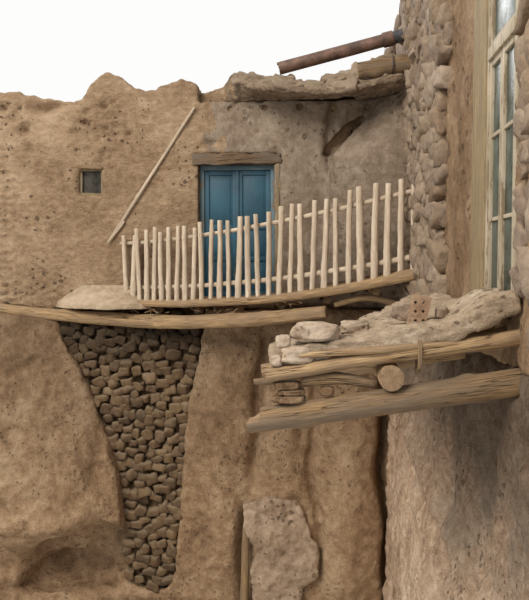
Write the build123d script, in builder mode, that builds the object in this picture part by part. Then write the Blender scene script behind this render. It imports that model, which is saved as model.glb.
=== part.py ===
# Adobe house on a cliff of natural rock: a mud-walled room with a stick-railed
# balcony, and a taller wing of rubble stone with a window and a broken ledge.
# Millimetres. +X runs along the main front to the wing, +Y into the hill, +Z up.
# The origin is at ground level, in the middle of the L-shaped plan's box.
import math
import os

from build123d import *

os.makedirs("parts", exist_ok=True)

# Plan of the house
house_width = 8500
house_depth = 10100
wing_width = 3000
porch_line = 1050
wall = 450
stone_wall = 500
wing_wall_back = 450

# Levels
rock_top = 3850
floor_thickness = 150
wall_head = 6500
parapet_top = 6620
wing_height = 7950

# Door, in the main front
door_x = -925
door_width = 990
door_height = 1700
door_frame_width = 60
door_frame_depth = 120
door_setback = 120
lintel_height = 140
lintel_depth = 300
lintel_bearing = 60

# Small window, in the main front
small_window_x = -2840
small_window_width = 320
small_window_height = 350
small_window_above = 1320
small_frame = 35

# Wing window, in the west wall
window_y = -3825
window_width = 750
window_sill = 4180
window_height = 2270
casement_height = 1600
casement_panes = 3
window_bar = 50
window_frame_depth = 90
window_setback = 30
jamb_width = 450
jamb_depth = 120
pane = 6
glazing_bar = 22

# Floors and roofs
roof_pole_radius = 60
roof_pole_spacing = 520
wing_pole_radius = 80
wing_pole_spacing = 560
pole_bearing = 250
roof_mud_thickness = 250
wing_mud_thickness = 280
wing_parapet = 60

# Balcony
balcony_left = -2460
balcony_right_y = -260
balcony_bow = 70
edge_log_radius = 50
edge_log_drop = 75
edge_log_rise = 440
joist_radius = 45
joist_count = 7
joist_pocket = 220
joist_tip = 10
front_log_radius = 84
front_log_left = -4080
front_log_right = 420
deck_thickness = 85
stick_count = 30
stick_radius = 27
rail_radius = 22
top_rail_above = 690
top_rail_rise = 590
bottom_rail_above = 120
bottom_rail_rise = 430
rail_pocket = 100
seat = 0.3

# Sides of a hewn log and of a split stick
log_sides = 12
stick_sides = 6

# Ledge below the wing window
ledge_log_radius = 74
ledge_log_reach = 1500
ledge_drop = 480
ledge_near_y = -4200
ledge_far_log_y = -2700
ledge_rise = 0.17
cross_log_radius = 70
cross_log_out = 700
ledge_pole_radius = 42
ledge_pole_spacing = 240
ledge_mud_thickness = 110

# Stove pipe
pipe_reach = 1630
pipe_y = 880
pipe_above = 350
pipe_fall = 400
pipe_radius = 78
pipe_wall = 3
collar_radius = 92
collar_length = 130

house_left = -house_width / 2
house_right = house_width / 2
near_end = -house_depth / 2
back = house_depth / 2
wing_face = house_right - wing_width
floor_top = rock_top + floor_thickness
room_front = porch_line + wall
room_back = back - wall
room_left = house_left + wall
wing_inner = wing_face + stone_wall
wing_room_right = house_right - wing_wall_back
door_head = floor_top + door_height
door_left = door_x - door_width / 2
door_right = door_x + door_width / 2
small_window_sill = floor_top + small_window_above
parts = []


def finish(builder, name):
    """Label a finished piece and write its file."""
    builder.part.label = name
    export_step(builder.part, f"parts/{name}.step")
    parts.append(builder)


def block(x0, x1, y0, y1, z0, z1):
    """A plain squared length of wall, floor or timber between two corners."""
    with BuildPart() as piece:
        with BuildSketch(Plane.XY.offset(z0)):
            with Locations(((x0 + x1) / 2, (y0 + y1) / 2)):
                Rectangle(x1 - x0, y1 - y0)
        extrude(amount=z1 - z0)
    return piece


def across(origin, direction):
    """A plane square to a direction, with its own x axis level."""
    level = Vector(direction).cross(Vector(0, 0, 1)).normalized()
    return Plane(origin=origin, x_dir=level, z_dir=direction)


def log(points, radii, sides=log_sides):
    """A bent, tapering log: hewn sections lofted along a curve through the points."""
    path = Spline(*points) if len(points) > 2 else Line(*points)
    last = len(radii) - 1
    with BuildPart() as piece:
        for station, radius in enumerate(radii):
            place = station / last
            with BuildSketch(across(path @ place, path % place)):
                RegularPolygon(radius, sides, rotation=180 / sides, major_radius=False)
        loft(ruled=True)
    return piece


def rising(low, rise, place, power):
    """Height at a place from 0 to 1 along the balcony, which climbs towards the wing."""
    return low + rise * place ** power


# Rock under the main room, split where the dry stone infill sits
rock_front = {
    0: (330, 330, 300, 150, 150, 190, 250, 150),
    0.19: (400, 360, 270, 160, 150, 230, 290, 150),
    0.29: (650, 730, 560, 180, 150, 250, 310, 150),
    0.5: (540, 600, 430, 110, 150, 230, 270, 130),
    0.75: (190, 230, 150, 50, 120, 170, 190, 90),
    1: (60, 70, 50, 40, 70, 110, 120, 60),
}
rock_stations = (0, 0.13, 0.25, 0.38, 0.52, 0.67, 0.83, 1)
rock_seam = -2050
rock_core_front = porch_line + 700
rock_length = wing_face - house_left

with BuildPart() as rock_mass:
    for level, bulges in rock_front.items():
        with BuildSketch(Plane.XY.offset(level * rock_top)):
            with BuildLine():
                Spline(*[(house_left + share * rock_length, porch_line - bulge)
                         for share, bulge in zip(rock_stations, bulges)])
                Line((wing_face, porch_line - bulges[-1]), (wing_face, rock_core_front))
                Line((wing_face, rock_core_front), (house_left, rock_core_front))
                Line((house_left, rock_core_front), (house_left, porch_line - bulges[0]))
            make_face()
    loft(ruled=True)

infill_outline = [(-3330, rock_top), (-3200, 3450), (-2800, 2700), (-2560, 1900), (-2380, 900),
                  (-2290, 260), (-1850, 160), (-1700, 700), (-1620, 1500), (-1570, 2500),
                  (-1400, 3300), (-1330, rock_top)]
infill_recess = porch_line + 70
infill_lean = 120

with BuildPart() as infill_niche:
    with BuildSketch(Plane.XZ.offset(0)):
        with BuildLine():
            Spline(*infill_outline)
            Line(infill_outline[-1], infill_outline[0])
        make_face()
    extrude(amount=-rock_core_front)

cave_x = -3120
cave_width = 1750
cave_height = 720
cave_depth = 1000
cave_sill = 150

with BuildPart() as cave_space:
    with BuildSketch(Plane.XZ.offset(-cave_depth)):
        with Locations((cave_x, 0)):
            Ellipse(cave_width * 0.36, cave_height * 0.7)
    with BuildSketch(Plane.XZ):
        with Locations((cave_x, 0)):
            Ellipse(cave_width / 2 * 1.25, cave_height * 1.15)
    loft(ruled=True)
    add(block(cave_x - cave_width, cave_x + cave_width, 0, cave_depth, -rock_top, cave_sill).part,
        mode=Mode.SUBTRACT)


rock_core = block(house_left, wing_face, rock_core_front, back, 0, rock_top)


# Logs of the balcony, placed along its bowed front line
def along(place):
    """Point of the balcony's front line in plan, at a place from 0 to 1."""
    return balcony_front @ place


def outward(place):
    """Direction away from the house, square to the balcony's front line."""
    run = balcony_front % place
    return Vector(run.Y, -run.X, 0)


balcony_start = Vector(balcony_left, porch_line - edge_log_radius, 0)
balcony_end = Vector(wing_face + rail_pocket, balcony_right_y, 0)
balcony_run = balcony_end - balcony_start
balcony_away = Vector(balcony_run.Y, -balcony_run.X, 0).normalized()
balcony_middle = (balcony_start + balcony_end) * 0.5 + balcony_away * balcony_bow
balcony_front = ThreePointArc(balcony_start, balcony_middle, balcony_end)
stations = 7


def edge_height(place):
    """Height of the edge log's middle."""
    return rising(floor_top - edge_log_drop, edge_log_rise, place, 2.5)


def along_front(height, shift=0.0):
    """Points of a bent pole that follows the balcony's front line."""
    places = [station / (stations - 1) for station in range(stations)]
    return [along(place) + outward(place) * shift + Vector(0, 0, height(place)) for place in places]


balcony_edge_log = log(along_front(edge_height),
                       [edge_log_radius * 0.8] + [edge_log_radius] * 5 + [edge_log_radius * 1.1])

joists = []
for number in range(joist_count):
    place = (number + 0.9) / joist_count
    tip = along(place) - outward(place) * joist_tip
    height = edge_height(place) - edge_log_radius * 1.1 - joist_radius
    joists.append(log([(tip.X, tip.Y, height), (tip.X, porch_line + joist_pocket, height + 8)],
                      [joist_radius, joist_radius * 1.05]))

with BuildPart() as balcony_joists:
    for joist in joists:
        add(joist.part)
    add(balcony_edge_log.part, mode=Mode.SUBTRACT)

log_drop = edge_log_radius * 1.1 + joist_radius * 2 + front_log_radius
log_places = (0.05, 0.27, 0.49, 0.71)
front_log_points = [(front_log_left, porch_line + 20, rock_top - 10), (-3300, porch_line - 70, 3760)]
front_log_points += [along(place) + Vector(0, 0, edge_height(place) - log_drop) for place in log_places]
balcony_front_log = log(front_log_points, [front_log_radius * 0.75, front_log_radius * 0.9]
                        + [front_log_radius] * 3 + [front_log_radius * 0.8])
with balcony_front_log:
    add(balcony_joists.part, mode=Mode.SUBTRACT)


def deck_shape(bottom_drop):
    """The mud deck between the house and the edge log, down to a depth below the log's middle."""
    with BuildPart() as piece:
        for station in range(5):
            place = 0.04 + 0.96 * station / 4
            front = along(place)
            middle = edge_height(place)
            with BuildSketch(Plane(origin=(front.X, 0, 0), x_dir=(0, 1, 0), z_dir=(1, 0, 0))):
                with BuildLine():
                    Polyline((front.Y, middle - bottom_drop), (porch_line, middle - bottom_drop),
                             (porch_line, middle + deck_thickness - edge_log_radius),
                             (front.Y, middle + deck_thickness - edge_log_radius), close=True)
                make_face()
        loft(ruled=True)
    return piece


deck_body = deck_shape(edge_log_radius)
with BuildPart() as balcony_deck:
    add(deck_body.part)
    add(balcony_edge_log.part, mode=Mode.SUBTRACT)
    add(balcony_joists.part, mode=Mode.SUBTRACT)
    with BuildSketch(Plane.YZ.offset(wing_face)):
        with Locations((porch_line, floor_top)):
            Rectangle(4 * porch_line, rock_top)
    extrude(amount=wing_width, mode=Mode.SUBTRACT)

# Curved branch wedged below the right end of the deck, against the front log's end
branch_left = 330
branch_right = 1010
branch_y = 120
branch_radius = 38
branch_rise = 90
branch_low = floor_top - 48
branch_crown = ((branch_left + branch_right) / 2, branch_y - 30, branch_low + branch_rise)
branch_tip = (branch_right, branch_y, branch_low + 20)
balcony_branch = log([(branch_left, branch_y, branch_low), branch_crown, branch_tip],
                     [branch_radius * 0.7, branch_radius, branch_radius * 0.9], 10)
with balcony_branch:
    add(balcony_joists.part, mode=Mode.SUBTRACT)

# Main walls
front_outline = [(house_left, parapet_top), (-3500, parapet_top - 20), (-2900, parapet_top),
                 (-2700, parapet_top + 240), (-2480, parapet_top + 260), (-2250, parapet_top + 70),
                 (-1950, parapet_top + 70), (-1640, parapet_top + 160), (door_left, parapet_top + 120)]
with BuildPart() as front_wall:
    with BuildSketch(Plane.XZ.offset(-porch_line)):
        with BuildLine():
            Spline(*front_outline)
            Line((door_left, front_outline[-1][1]), (door_left, rock_top))
            Line((door_left, rock_top), (house_left, rock_top))
            Line((house_left, rock_top), front_outline[0])
        make_face()
        with Locations((small_window_x, small_window_sill + small_window_height / 2)):
            Rectangle(small_window_width, small_window_height, mode=Mode.SUBTRACT)
    extrude(amount=-wall)
    add(balcony_front_log.part, mode=Mode.SUBTRACT)
    add(balcony_joists.part, mode=Mode.SUBTRACT)

head_bottom = door_head + lintel_height
niche_x = wing_face - 800
niche_length = 740
niche_breadth = 170
niche_slant = 42
niche_middle = wall_head - 450
niche_depth = 240
with BuildPart() as porch_wall:
    add(block(door_right, wing_face, porch_line, room_front, rock_top, wall_head).part)
    with BuildSketch(Plane.XZ.offset(-porch_line)):
        with Locations((niche_x, niche_middle)):
            Ellipse(niche_length / 2, niche_breadth / 2, rotation=niche_slant)
    extrude(amount=-niche_depth, mode=Mode.SUBTRACT)
    add(balcony_joists.part, mode=Mode.SUBTRACT)

end_wall = block(house_left, room_left, room_front, room_back, rock_top, parapet_top)
back_wall = block(house_left, wing_face, room_back, back, rock_top, parapet_top)
with BuildPart() as main_floor:
    with BuildSketch(Plane.XY.offset(rock_top)):
        with Locations(((room_left + wing_face) / 2, (room_front + room_back) / 2)):
            Rectangle(wing_face - room_left, room_back - room_front)
        with Locations((door_x, porch_line + wall / 2)):
            Rectangle(door_width, wall)
    extrude(amount=floor_thickness)
    add(balcony_joists.part, mode=Mode.SUBTRACT)

# Plaster that rounds off the corner between the main front and the wing
corner_levels = {0: (1100, 490, 20), 0.46: (1020, 550, 30), 0.7: (980, 530, 140), 0.92: (470, 470, 140),
                 1: (390, 410, 60)}
corner_height = wall_head - floor_top
with BuildPart() as corner_plaster:
    for level, (run_along, bulge, edge) in corner_levels.items():
        reach = wing_face - run_along
        front = porch_line - bulge
        with BuildSketch(Plane.XY.offset(floor_top + level * corner_height)):
            with BuildLine():
                Polyline((reach, porch_line - edge), (reach, porch_line), (wing_face, porch_line),
                         (wing_face, front))
                middle_x = (reach + wing_face) / 2
                ThreePointArc((wing_face, front), (middle_x + 30, (front + porch_line - edge) / 2 - 60),
                              (reach, porch_line - edge))
            make_face()
    loft(ruled=True)
    add(deck_shape(rock_top / 2).part, mode=Mode.SUBTRACT)

# Door
lintel_left = door_left - lintel_bearing
lintel_right = door_right + lintel_bearing
door_lintel = block(lintel_left, lintel_right, porch_line, porch_line + lintel_depth, door_head, head_bottom)
with front_wall:
    add(door_lintel.part, mode=Mode.SUBTRACT)
with porch_wall:
    add(door_lintel.part, mode=Mode.SUBTRACT)
with BuildPart() as door_head_wall:
    add(block(door_left, door_right, porch_line, room_front, head_bottom, wall_head).part)
    with BuildSketch(Plane.XY.offset(door_head)):
        with Locations((door_x, (porch_line + lintel_depth + room_front) / 2)):
            Rectangle(door_width, wall - lintel_depth)
    extrude(amount=lintel_height)

frame_front = porch_line + door_setback
with BuildPart() as door_frame:
    with BuildSketch(Plane.XZ.offset(-frame_front)):
        with Locations((door_x, (floor_top + door_head) / 2)):
            Rectangle(door_width, door_height)
            with Locations((0, -door_frame_width / 2)):
                Rectangle(door_width - 2 * door_frame_width, door_height - door_frame_width,
                          mode=Mode.SUBTRACT)
    extrude(amount=-door_frame_depth)

leaf_gap = 4
leaf_thickness = 40
panel_recess = 14
stile = 62
leaf_width = (door_width - 2 * door_frame_width - leaf_gap) / 2
leaf_height = door_height - door_frame_width
leaf_front = frame_front + 30
mid_rail = floor_top + 0.55 * leaf_height
cover_strip_width = 38
cover_strip_depth = 18


def door_leaf(middle):
    """One panelled leaf with a tall upper panel and two short lower ones."""
    rails = (floor_top + stile, floor_top + 0.3 * leaf_height, mid_rail, floor_top + leaf_height - stile)
    with BuildPart() as piece:
        with BuildSketch(Plane.XZ.offset(-leaf_front)):
            with Locations((middle, floor_top + leaf_height / 2)):
                Rectangle(leaf_width, leaf_height)
        extrude(amount=-leaf_thickness)
        with BuildSketch(Plane.XZ.offset(-leaf_front)):
            for lower, upper in zip(rails[:-1], rails[1:]):
                clear = upper - lower - stile
                with Locations((middle, (lower + upper) / 2)):
                    Rectangle(leaf_width - 2 * stile, clear)
        extrude(amount=-panel_recess, mode=Mode.SUBTRACT)
    return piece


door_leaf_left = door_leaf(door_x - (leaf_width + leaf_gap) / 2)
door_leaf_right = door_leaf(door_x + (leaf_width + leaf_gap) / 2)
cover_strip = block(door_x - cover_strip_width / 2, door_x + cover_strip_width / 2,
                    leaf_front - cover_strip_depth, leaf_front, floor_top, floor_top + leaf_height)
with door_leaf_left:
    add(cover_strip.part)

# Small window
with BuildPart() as small_window_frame:
    with BuildSketch(Plane.XZ.offset(-porch_line - 60)):
        with Locations((small_window_x, small_window_sill + small_window_height / 2)):
            Rectangle(small_window_width, small_window_height)
            Rectangle(small_window_width - 2 * small_frame, small_window_height - 2 * small_frame,
                      mode=Mode.SUBTRACT)
    extrude(amount=-small_frame)
small_window_pane = block(small_window_x - small_window_width / 2, small_window_x + small_window_width / 2,
                          porch_line + 60 + small_frame, porch_line + 60 + small_frame + pane,
                          small_window_sill, small_window_sill + small_window_height)

# Main roof
roof_pole_z = wall_head - 350
pole_row = [room_left + roof_pole_spacing / 2 + number * roof_pole_spacing
            for number in range(int((wing_face - room_left) / roof_pole_spacing))]
with BuildPart() as roof_poles:
    with BuildSketch(Plane.XZ.offset(-(room_front - pole_bearing))):
        with Locations(*[(x, roof_pole_z) for x in pole_row]):
            RegularPolygon(roof_pole_radius, 8, rotation=22.5, major_radius=False)
    extrude(amount=-(room_back - room_front + 2 * pole_bearing))
for builder in (front_wall, door_head_wall, porch_wall, back_wall):
    with builder:
        add(roof_poles.part, mode=Mode.SUBTRACT)
mud_bottom = roof_pole_z + roof_pole_radius
roof_mud = block(room_left, wing_face, room_front, room_back, mud_bottom, mud_bottom + roof_mud_thickness)

# Porch eave: poles and a thick wavy lip of mud and flat stones over the door
eave_shape = {0: (20, 60, 240, 60), 0.12: (40, 60, 220, 60), 0.17: (150, 170, 300, 60),
              0.22: (330, 110, 260, 90), 0.31: (550, 30, 200, 120), 0.44: (700, -60, 110, 160),
              0.57: (780, -110, 60, 190), 0.71: (800, -100, 60, 200), 0.85: (800, 0, 160, 200),
              1: (770, 60, 300, 140)}
eave_back = room_front - 30
eave_pole_radius = 40
eave_pole_reach = 1035
eave_pole_count = 5
eave_pole_first = -1000
eave_pole_spacing = 440
eave_pole_z = wall_head - 2 * eave_pole_radius
with BuildPart() as eave_mud:
    for share, (overhang, low_above, high_above, slope) in eave_shape.items():
        x = door_left + share * (wing_face - door_left)
        front = porch_line - overhang
        low = wall_head + low_above
        high = wall_head + high_above
        with BuildSketch(Plane(origin=(x, 0, 0), x_dir=(0, 1, 0), z_dir=(1, 0, 0))):
            with BuildLine():
                Line((eave_back, wall_head), (porch_line, wall_head))
                Line((porch_line, wall_head), (front + 10, low))
                Line((front + 10, low), (front, high))
                Line((front, high), (eave_back, high + slope))
                Line((eave_back, high + slope), (eave_back, wall_head))
            make_face()
    loft(ruled=True)
with BuildPart() as eave_poles:
    with BuildSketch(Plane.XZ.offset(-eave_pole_reach)):
        with Locations(*[(eave_pole_first + number * eave_pole_spacing, eave_pole_z)
                         for number in range(eave_pole_count)]):
            RegularPolygon(eave_pole_radius, 8, rotation=22.5, major_radius=False)
    extrude(amount=-(room_front - eave_pole_reach))
for builder in (door_head_wall, porch_wall, corner_plaster):
    with builder:
        add(eave_poles.part, mode=Mode.SUBTRACT)
with corner_plaster:
    add(eave_mud.part, mode=Mode.SUBTRACT)
eave_log_reach = 660
eave_log = log([(wing_face - eave_log_reach, porch_line - 770, wall_head + 160),
                (wing_face + rail_pocket, porch_line - 740, wall_head + 260)], [85, 92, 98])
with BuildPart() as eave_mud_cut:
    add(eave_mud.part)
    add(eave_log.part, mode=Mode.SUBTRACT)
    add(eave_poles.part, mode=Mode.SUBTRACT)


# Mound of clay on the left end of the balcony
clay_left = -3330
clay_right = -1900
clay_reach = 260
clay_height = 300
clay_levels = {0: (0, 0.96), 0.25: (20, 1), 0.6: (160, 0.6), 1: (330, 0.2)}
with BuildPart() as clay_slab:
    for level, (narrowed, share) in clay_levels.items():
        with BuildSketch(Plane.XY.offset(rock_top + level * clay_height)):
            with BuildLine():
                left, right, reach = clay_left + narrowed, clay_right - narrowed, clay_reach * share
                Spline((left, porch_line), (left + 300, porch_line - reach * 0.85),
                       (right - 200, porch_line - reach), (right, porch_line))
                Line((right, porch_line), (left, porch_line))
            make_face()
    loft(ruled=True)
    add(balcony_front_log.part, mode=Mode.SUBTRACT)
    add(balcony_joists.part, mode=Mode.SUBTRACT)
    add(balcony_edge_log.part, mode=Mode.SUBTRACT)
    add(balcony_deck.part, mode=Mode.SUBTRACT)

# Railing
def top_rail_height(place):
    return rising(floor_top + top_rail_above, top_rail_rise, place, 1.6)


def bottom_rail_height(place):
    return rising(floor_top + bottom_rail_above, bottom_rail_rise, place, 2)


rail_shift = -(rail_radius + stick_radius + 2 * seat)
top_rail = log(along_front(top_rail_height, rail_shift), [rail_radius] * stations, 8)
bottom_rail = log(along_front(bottom_rail_height, rail_shift), [rail_radius] * stations, 8)
with BuildPart() as railing_rails:
    add(top_rail.part)
    add(bottom_rail.part)
with front_wall:
    add(railing_rails.part, mode=Mode.SUBTRACT)
stick_first = 0.03
stick_last = 0.955
with BuildPart() as railing_sticks:
    for number in range(stick_count):
        place = stick_first + (stick_last - stick_first) * number / (stick_count - 1)
        lean = 22 * math.sin(number * 2.4) + 8 * math.sin(number * 5.1)
        above = 140 + 26 * math.sin(number * 1.7)
        foot = along(place) + Vector(0, 0, edge_height(place))
        run = (balcony_front % place).normalized()
        tip = along(place) + run * lean + Vector(0, 0, top_rail_height(place) + above)
        radius = stick_radius * (0.86 + 0.14 * math.sin(number * 3.3))
        facing = (tip - foot).cross(run).normalized()
        with BuildSketch(Plane(origin=foot, x_dir=facing, z_dir=tip - foot)):
            RegularPolygon(radius, stick_sides, major_radius=False)
        with BuildSketch(Plane(origin=tip, x_dir=facing, z_dir=tip - foot)):
            RegularPolygon(radius * 0.85, stick_sides, major_radius=False)
        loft(ruled=True)
    add(balcony_edge_log.part, mode=Mode.SUBTRACT)
    add(balcony_deck.part, mode=Mode.SUBTRACT)
    add(railing_rails.part, mode=Mode.SUBTRACT)
with clay_slab:
    add(railing_rails.part, mode=Mode.SUBTRACT)
    add(railing_sticks.part, mode=Mode.SUBTRACT)

pole_radius = 25
leaning_pole = log([(-2570, porch_line - pole_radius - seat, floor_top + 740),
                    (-1460, porch_line - pole_radius - seat, wall_head - 80)], [pole_radius, pole_radius], 8)

# Rock pieces
with BuildPart() as stone_infill:
    add(infill_niche.part)
    with BuildSketch(Plane.YZ.offset(house_left)):
        with BuildLine():
            Polyline((-wall, 0), (infill_recess - infill_lean, 0), (infill_recess, rock_top),
                     (-wall, rock_top), close=True)
        make_face()
    extrude(amount=rock_length, mode=Mode.SUBTRACT)
    add(balcony_joists.part, mode=Mode.SUBTRACT)

with BuildPart() as rock_left:
    add(rock_mass.part)
    split(bisect_by=Plane.YZ.offset(rock_seam), keep=Keep.BOTTOM)
    add(infill_niche.part, mode=Mode.SUBTRACT)
    add(cave_space.part, mode=Mode.SUBTRACT)
    add(balcony_front_log.part, mode=Mode.SUBTRACT)

with BuildPart() as rock_middle:
    add(rock_mass.part)
    split(bisect_by=Plane.YZ.offset(rock_seam), keep=Keep.TOP)
    add(infill_niche.part, mode=Mode.SUBTRACT)
    add(balcony_joists.part, mode=Mode.SUBTRACT)
    add(balcony_front_log.part, mode=Mode.SUBTRACT)

patch_front = 690
patch_outline = [(-680, 0), (-690, 300), (-705, 514), (-608, 757), (-703, 920), (-815, 1110), (-815, 1380),
                 (-455, 1470), (-145, 1440), (27, 1163), (60, 1000), (150, 868), (140, 486), (-35, 353),
                 (-100, 0)]
with BuildPart() as plaster_patch:
    with BuildSketch(Plane.XZ.offset(-patch_front)):
        with BuildLine():
            Polyline(*patch_outline, close=True)
        make_face()
    extrude(amount=-wall)
    add(rock_middle.part, mode=Mode.SUBTRACT)

post_x = -800
post_height = 1080
lower_post = log([(post_x, 760, 4), (post_x + 20, 790, post_height)], [58, 54])
with lower_post:
    add(rock_middle.part, mode=Mode.SUBTRACT)
    add(plaster_patch.part, mode=Mode.SUBTRACT)

wing_skirt = {0: (170, 230, 300, 350, 320), 0.34: (120, 190, 250, 290, 290),
              0.68: (50, 100, 170, 210, 250), 1: (2, 5, 6, 8, 15)}
skirt_end = porch_line - 70
skirt_stations = (near_end, -3500, -1900, -400, skirt_end)
with BuildPart() as wing_base:
    for level, bulges in wing_skirt.items():
        reaches = [wing_face - bulge for bulge in bulges]
        with BuildSketch(Plane.XY.offset(level * rock_top)):
            with BuildLine():
                Spline(*zip(reaches, skirt_stations))
                Polyline((reaches[-1], skirt_end), (wing_face, skirt_end), (wing_face, back),
                         (house_right, back), (house_right, near_end), (reaches[0], near_end))
            make_face()
    loft(ruled=True)
    add(rock_middle.part, mode=Mode.SUBTRACT)

# Ledge
def ledge_height(x):
    """Height of the cantilever logs' middle, which climb towards the wing."""
    return floor_top - ledge_drop + ledge_rise * (x - wing_face + ledge_log_reach)


log_tail = wing_face + 380
ledge_left = wing_face - ledge_log_reach
ledge_near_log = log([(ledge_left, ledge_near_y, ledge_height(ledge_left)),
                      (log_tail, ledge_near_y - 60, ledge_height(log_tail))],
                     [ledge_log_radius * 0.95, ledge_log_radius * 1.05])
far_log_left = wing_face - 1030
ledge_far_log = log([(far_log_left, ledge_far_log_y, ledge_height(far_log_left)),
                     (log_tail, ledge_far_log_y, ledge_height(log_tail))],
                    [ledge_log_radius * 0.9, ledge_log_radius])
cross_log_x = wing_face - cross_log_out

cross_z = ledge_height(cross_log_x) + ledge_log_radius + cross_log_radius
ledge_cross_log = log([(cross_log_x, ledge_near_y - 110, cross_z),
                       (cross_log_x, ledge_far_log_y + 130, cross_z)], [cross_log_radius, cross_log_radius])
with ledge_cross_log:
    add(ledge_near_log.part, mode=Mode.SUBTRACT)
    add(ledge_far_log.part, mode=Mode.SUBTRACT)
pole_z = cross_z + cross_log_radius + ledge_pole_radius
ledge_plan = [(wing_face, -4480), (wing_face - 1370, -4280), (wing_face - 1390, -4000),
              (wing_face - 920, -3300), (wing_face - 430, -2100), (wing_face, -700)]


def ledge_edge(y):
    """How far out the broken ledge still reaches at a place along the wing."""
    for (x0, y0), (x1, y1) in zip(ledge_plan[2:-1], ledge_plan[3:]):
        if y0 <= y <= y1:
            return x0 + (x1 - x0) * (y - y0) / (y1 - y0)
    return ledge_plan[1][0]


with BuildPart() as ledge_poles:
    for number in range(14):
        y = ledge_near_y - ledge_pole_radius + number * ledge_pole_spacing
        x = ledge_edge(y) - 30 - 50 * math.sin(number * 2.1)
        start = Vector(x, y, pole_z + ledge_rise * (x - cross_log_x))
        tail = wing_face + 120
        end = Vector(tail, y, pole_z + ledge_rise * (tail - cross_log_x))
        with BuildSketch(across(start, end - start)):
            RegularPolygon(ledge_pole_radius * 0.85, 8, rotation=22.5, major_radius=False)
        with BuildSketch(across(end, end - start)):
            RegularPolygon(ledge_pole_radius, 8, rotation=22.5, major_radius=False)
        loft(ruled=True)
    add(ledge_cross_log.part, mode=Mode.SUBTRACT)

mud_plane = Plane(origin=(cross_log_x, 0, pole_z + ledge_pole_radius - 3), x_dir=(1, 0, ledge_rise),
                  z_dir=(-ledge_rise, 0, 1))
with BuildPart() as ledge_mud:
    with BuildSketch(mud_plane):
        with BuildLine():
            Polyline(*[((x - cross_log_x) * math.hypot(1, ledge_rise), y) for x, y in ledge_plan], close=True)
        make_face()
    extrude(amount=ledge_mud_thickness)
    with BuildSketch(Plane.YZ.offset(wing_face)):
        with Locations((-wing_width, floor_top)):
            Rectangle(house_depth, rock_top)
    extrude(amount=wing_width, mode=Mode.SUBTRACT)
    add(ledge_poles.part, mode=Mode.SUBTRACT)


def boulder(x, y, z, radius, height):
    """A flat rounded stone."""
    with BuildPart() as piece:
        for share, reach in ((-0.5, 0.6), (-0.2, 0.96), (0.15, 1), (0.5, 0.55)):
            with BuildSketch(Plane.XY.offset(z + share * height)):
                with Locations((x, y)):
                    RegularPolygon(radius * reach, 9, rotation=31 * height)
        loft(ruled=True)
    return piece


mud_top = pole_z + ledge_pole_radius + ledge_mud_thickness
with BuildPart() as ledge_stones:
    for out, y, radius, height in ((1240, -4130, 120, 110), (990, -3880, 110, 90), (1240, -3930, 62, 70)):
        x = wing_face - out
        add(boulder(x, y, mud_top + ledge_rise * (x - cross_log_x) + height * 0.35, radius, height).part)
    add(ledge_mud.part, mode=Mode.SUBTRACT)

clay_brick_x = wing_face - 510
clay_brick_y = ledge_near_y + 200
clay_brick_z = mud_top + ledge_rise * (clay_brick_x - cross_log_x)
with BuildPart() as clay_brick:
    with BuildSketch(Plane.XZ.offset(-clay_brick_y)):
        with Locations((clay_brick_x, clay_brick_z + 60)):
            Rectangle(110, 190, rotation=-12)
            with GridLocations(45, 55, 2, 3):
                Circle(9, mode=Mode.SUBTRACT)
    extrude(amount=-60)
    add(ledge_mud.part, mode=Mode.SUBTRACT)

flat_stone_x = wing_face - 1280
flat_stone_width = 225
flat_stone_depth = 180
flat_stone_height = 88
packing_bottom = ledge_height(flat_stone_x) + ledge_log_radius
short_pole_left = wing_face - 1480
short_pole_right = cross_log_x - 75
short_pole_z = packing_bottom + flat_stone_height + 24
short_pole = log([(short_pole_left, ledge_near_y, short_pole_z),
                  (short_pole_right, ledge_near_y, short_pole_z)], [23, 28], 8)
flat_stone = block(flat_stone_x - flat_stone_width / 2, flat_stone_x + flat_stone_width / 2,
                   ledge_near_y - flat_stone_depth / 2, ledge_near_y + flat_stone_depth / 2,
                   packing_bottom - 20, packing_bottom + flat_stone_height)
with flat_stone:
    add(short_pole.part, mode=Mode.SUBTRACT)
with BuildPart() as ledge_packing:
    add(short_pole.part)
    add(flat_stone.part)
    add(ledge_near_log.part, mode=Mode.SUBTRACT)
    add(ledge_poles.part, mode=Mode.SUBTRACT)
    add(ledge_cross_log.part, mode=Mode.SUBTRACT)

# Wing walls
window_left = window_y + window_width / 2
window_right = window_y - window_width / 2
window_head = window_sill + window_height
transom_z = window_sill + casement_height
pier_end = -1800
wing_stone_wall = block(wing_face, wing_inner, pier_end, back, rock_top, wing_height)
with BuildPart() as wing_plaster_pier:
    add(block(wing_face, wing_inner, window_left, pier_end, rock_top, wing_height).part)
    with BuildSketch(Plane.XY.offset(window_sill)):
        with Locations((wing_face, window_left)):
            Rectangle(jamb_depth, jamb_width, align=(Align.MIN, Align.MIN))
    extrude(amount=window_height, mode=Mode.SUBTRACT)
window_jamb = block(wing_face, wing_face + jamb_depth, window_left, window_left + jamb_width,
                    window_sill, window_head)
wing_sill_wall = block(wing_face, wing_inner, window_right, window_left, rock_top, window_sill)
wing_head_wall = block(wing_face, wing_inner, window_right, window_left, window_head, wing_height)
wing_corner_pier = block(wing_face, wing_inner, near_end, window_right, rock_top, wing_height)
wing_south_wall = block(wing_inner, wing_room_right, near_end, near_end + wing_wall_back, rock_top, wing_height)
wing_north_wall = block(wing_inner, wing_room_right, back - wing_wall_back, back, rock_top,
                        wing_height)
wing_east_wall = block(wing_room_right, house_right, near_end, back, rock_top, wing_height)
wing_floor = block(wing_inner, wing_room_right, near_end + wing_wall_back, back - wing_wall_back,
                   rock_top, floor_top)

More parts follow.
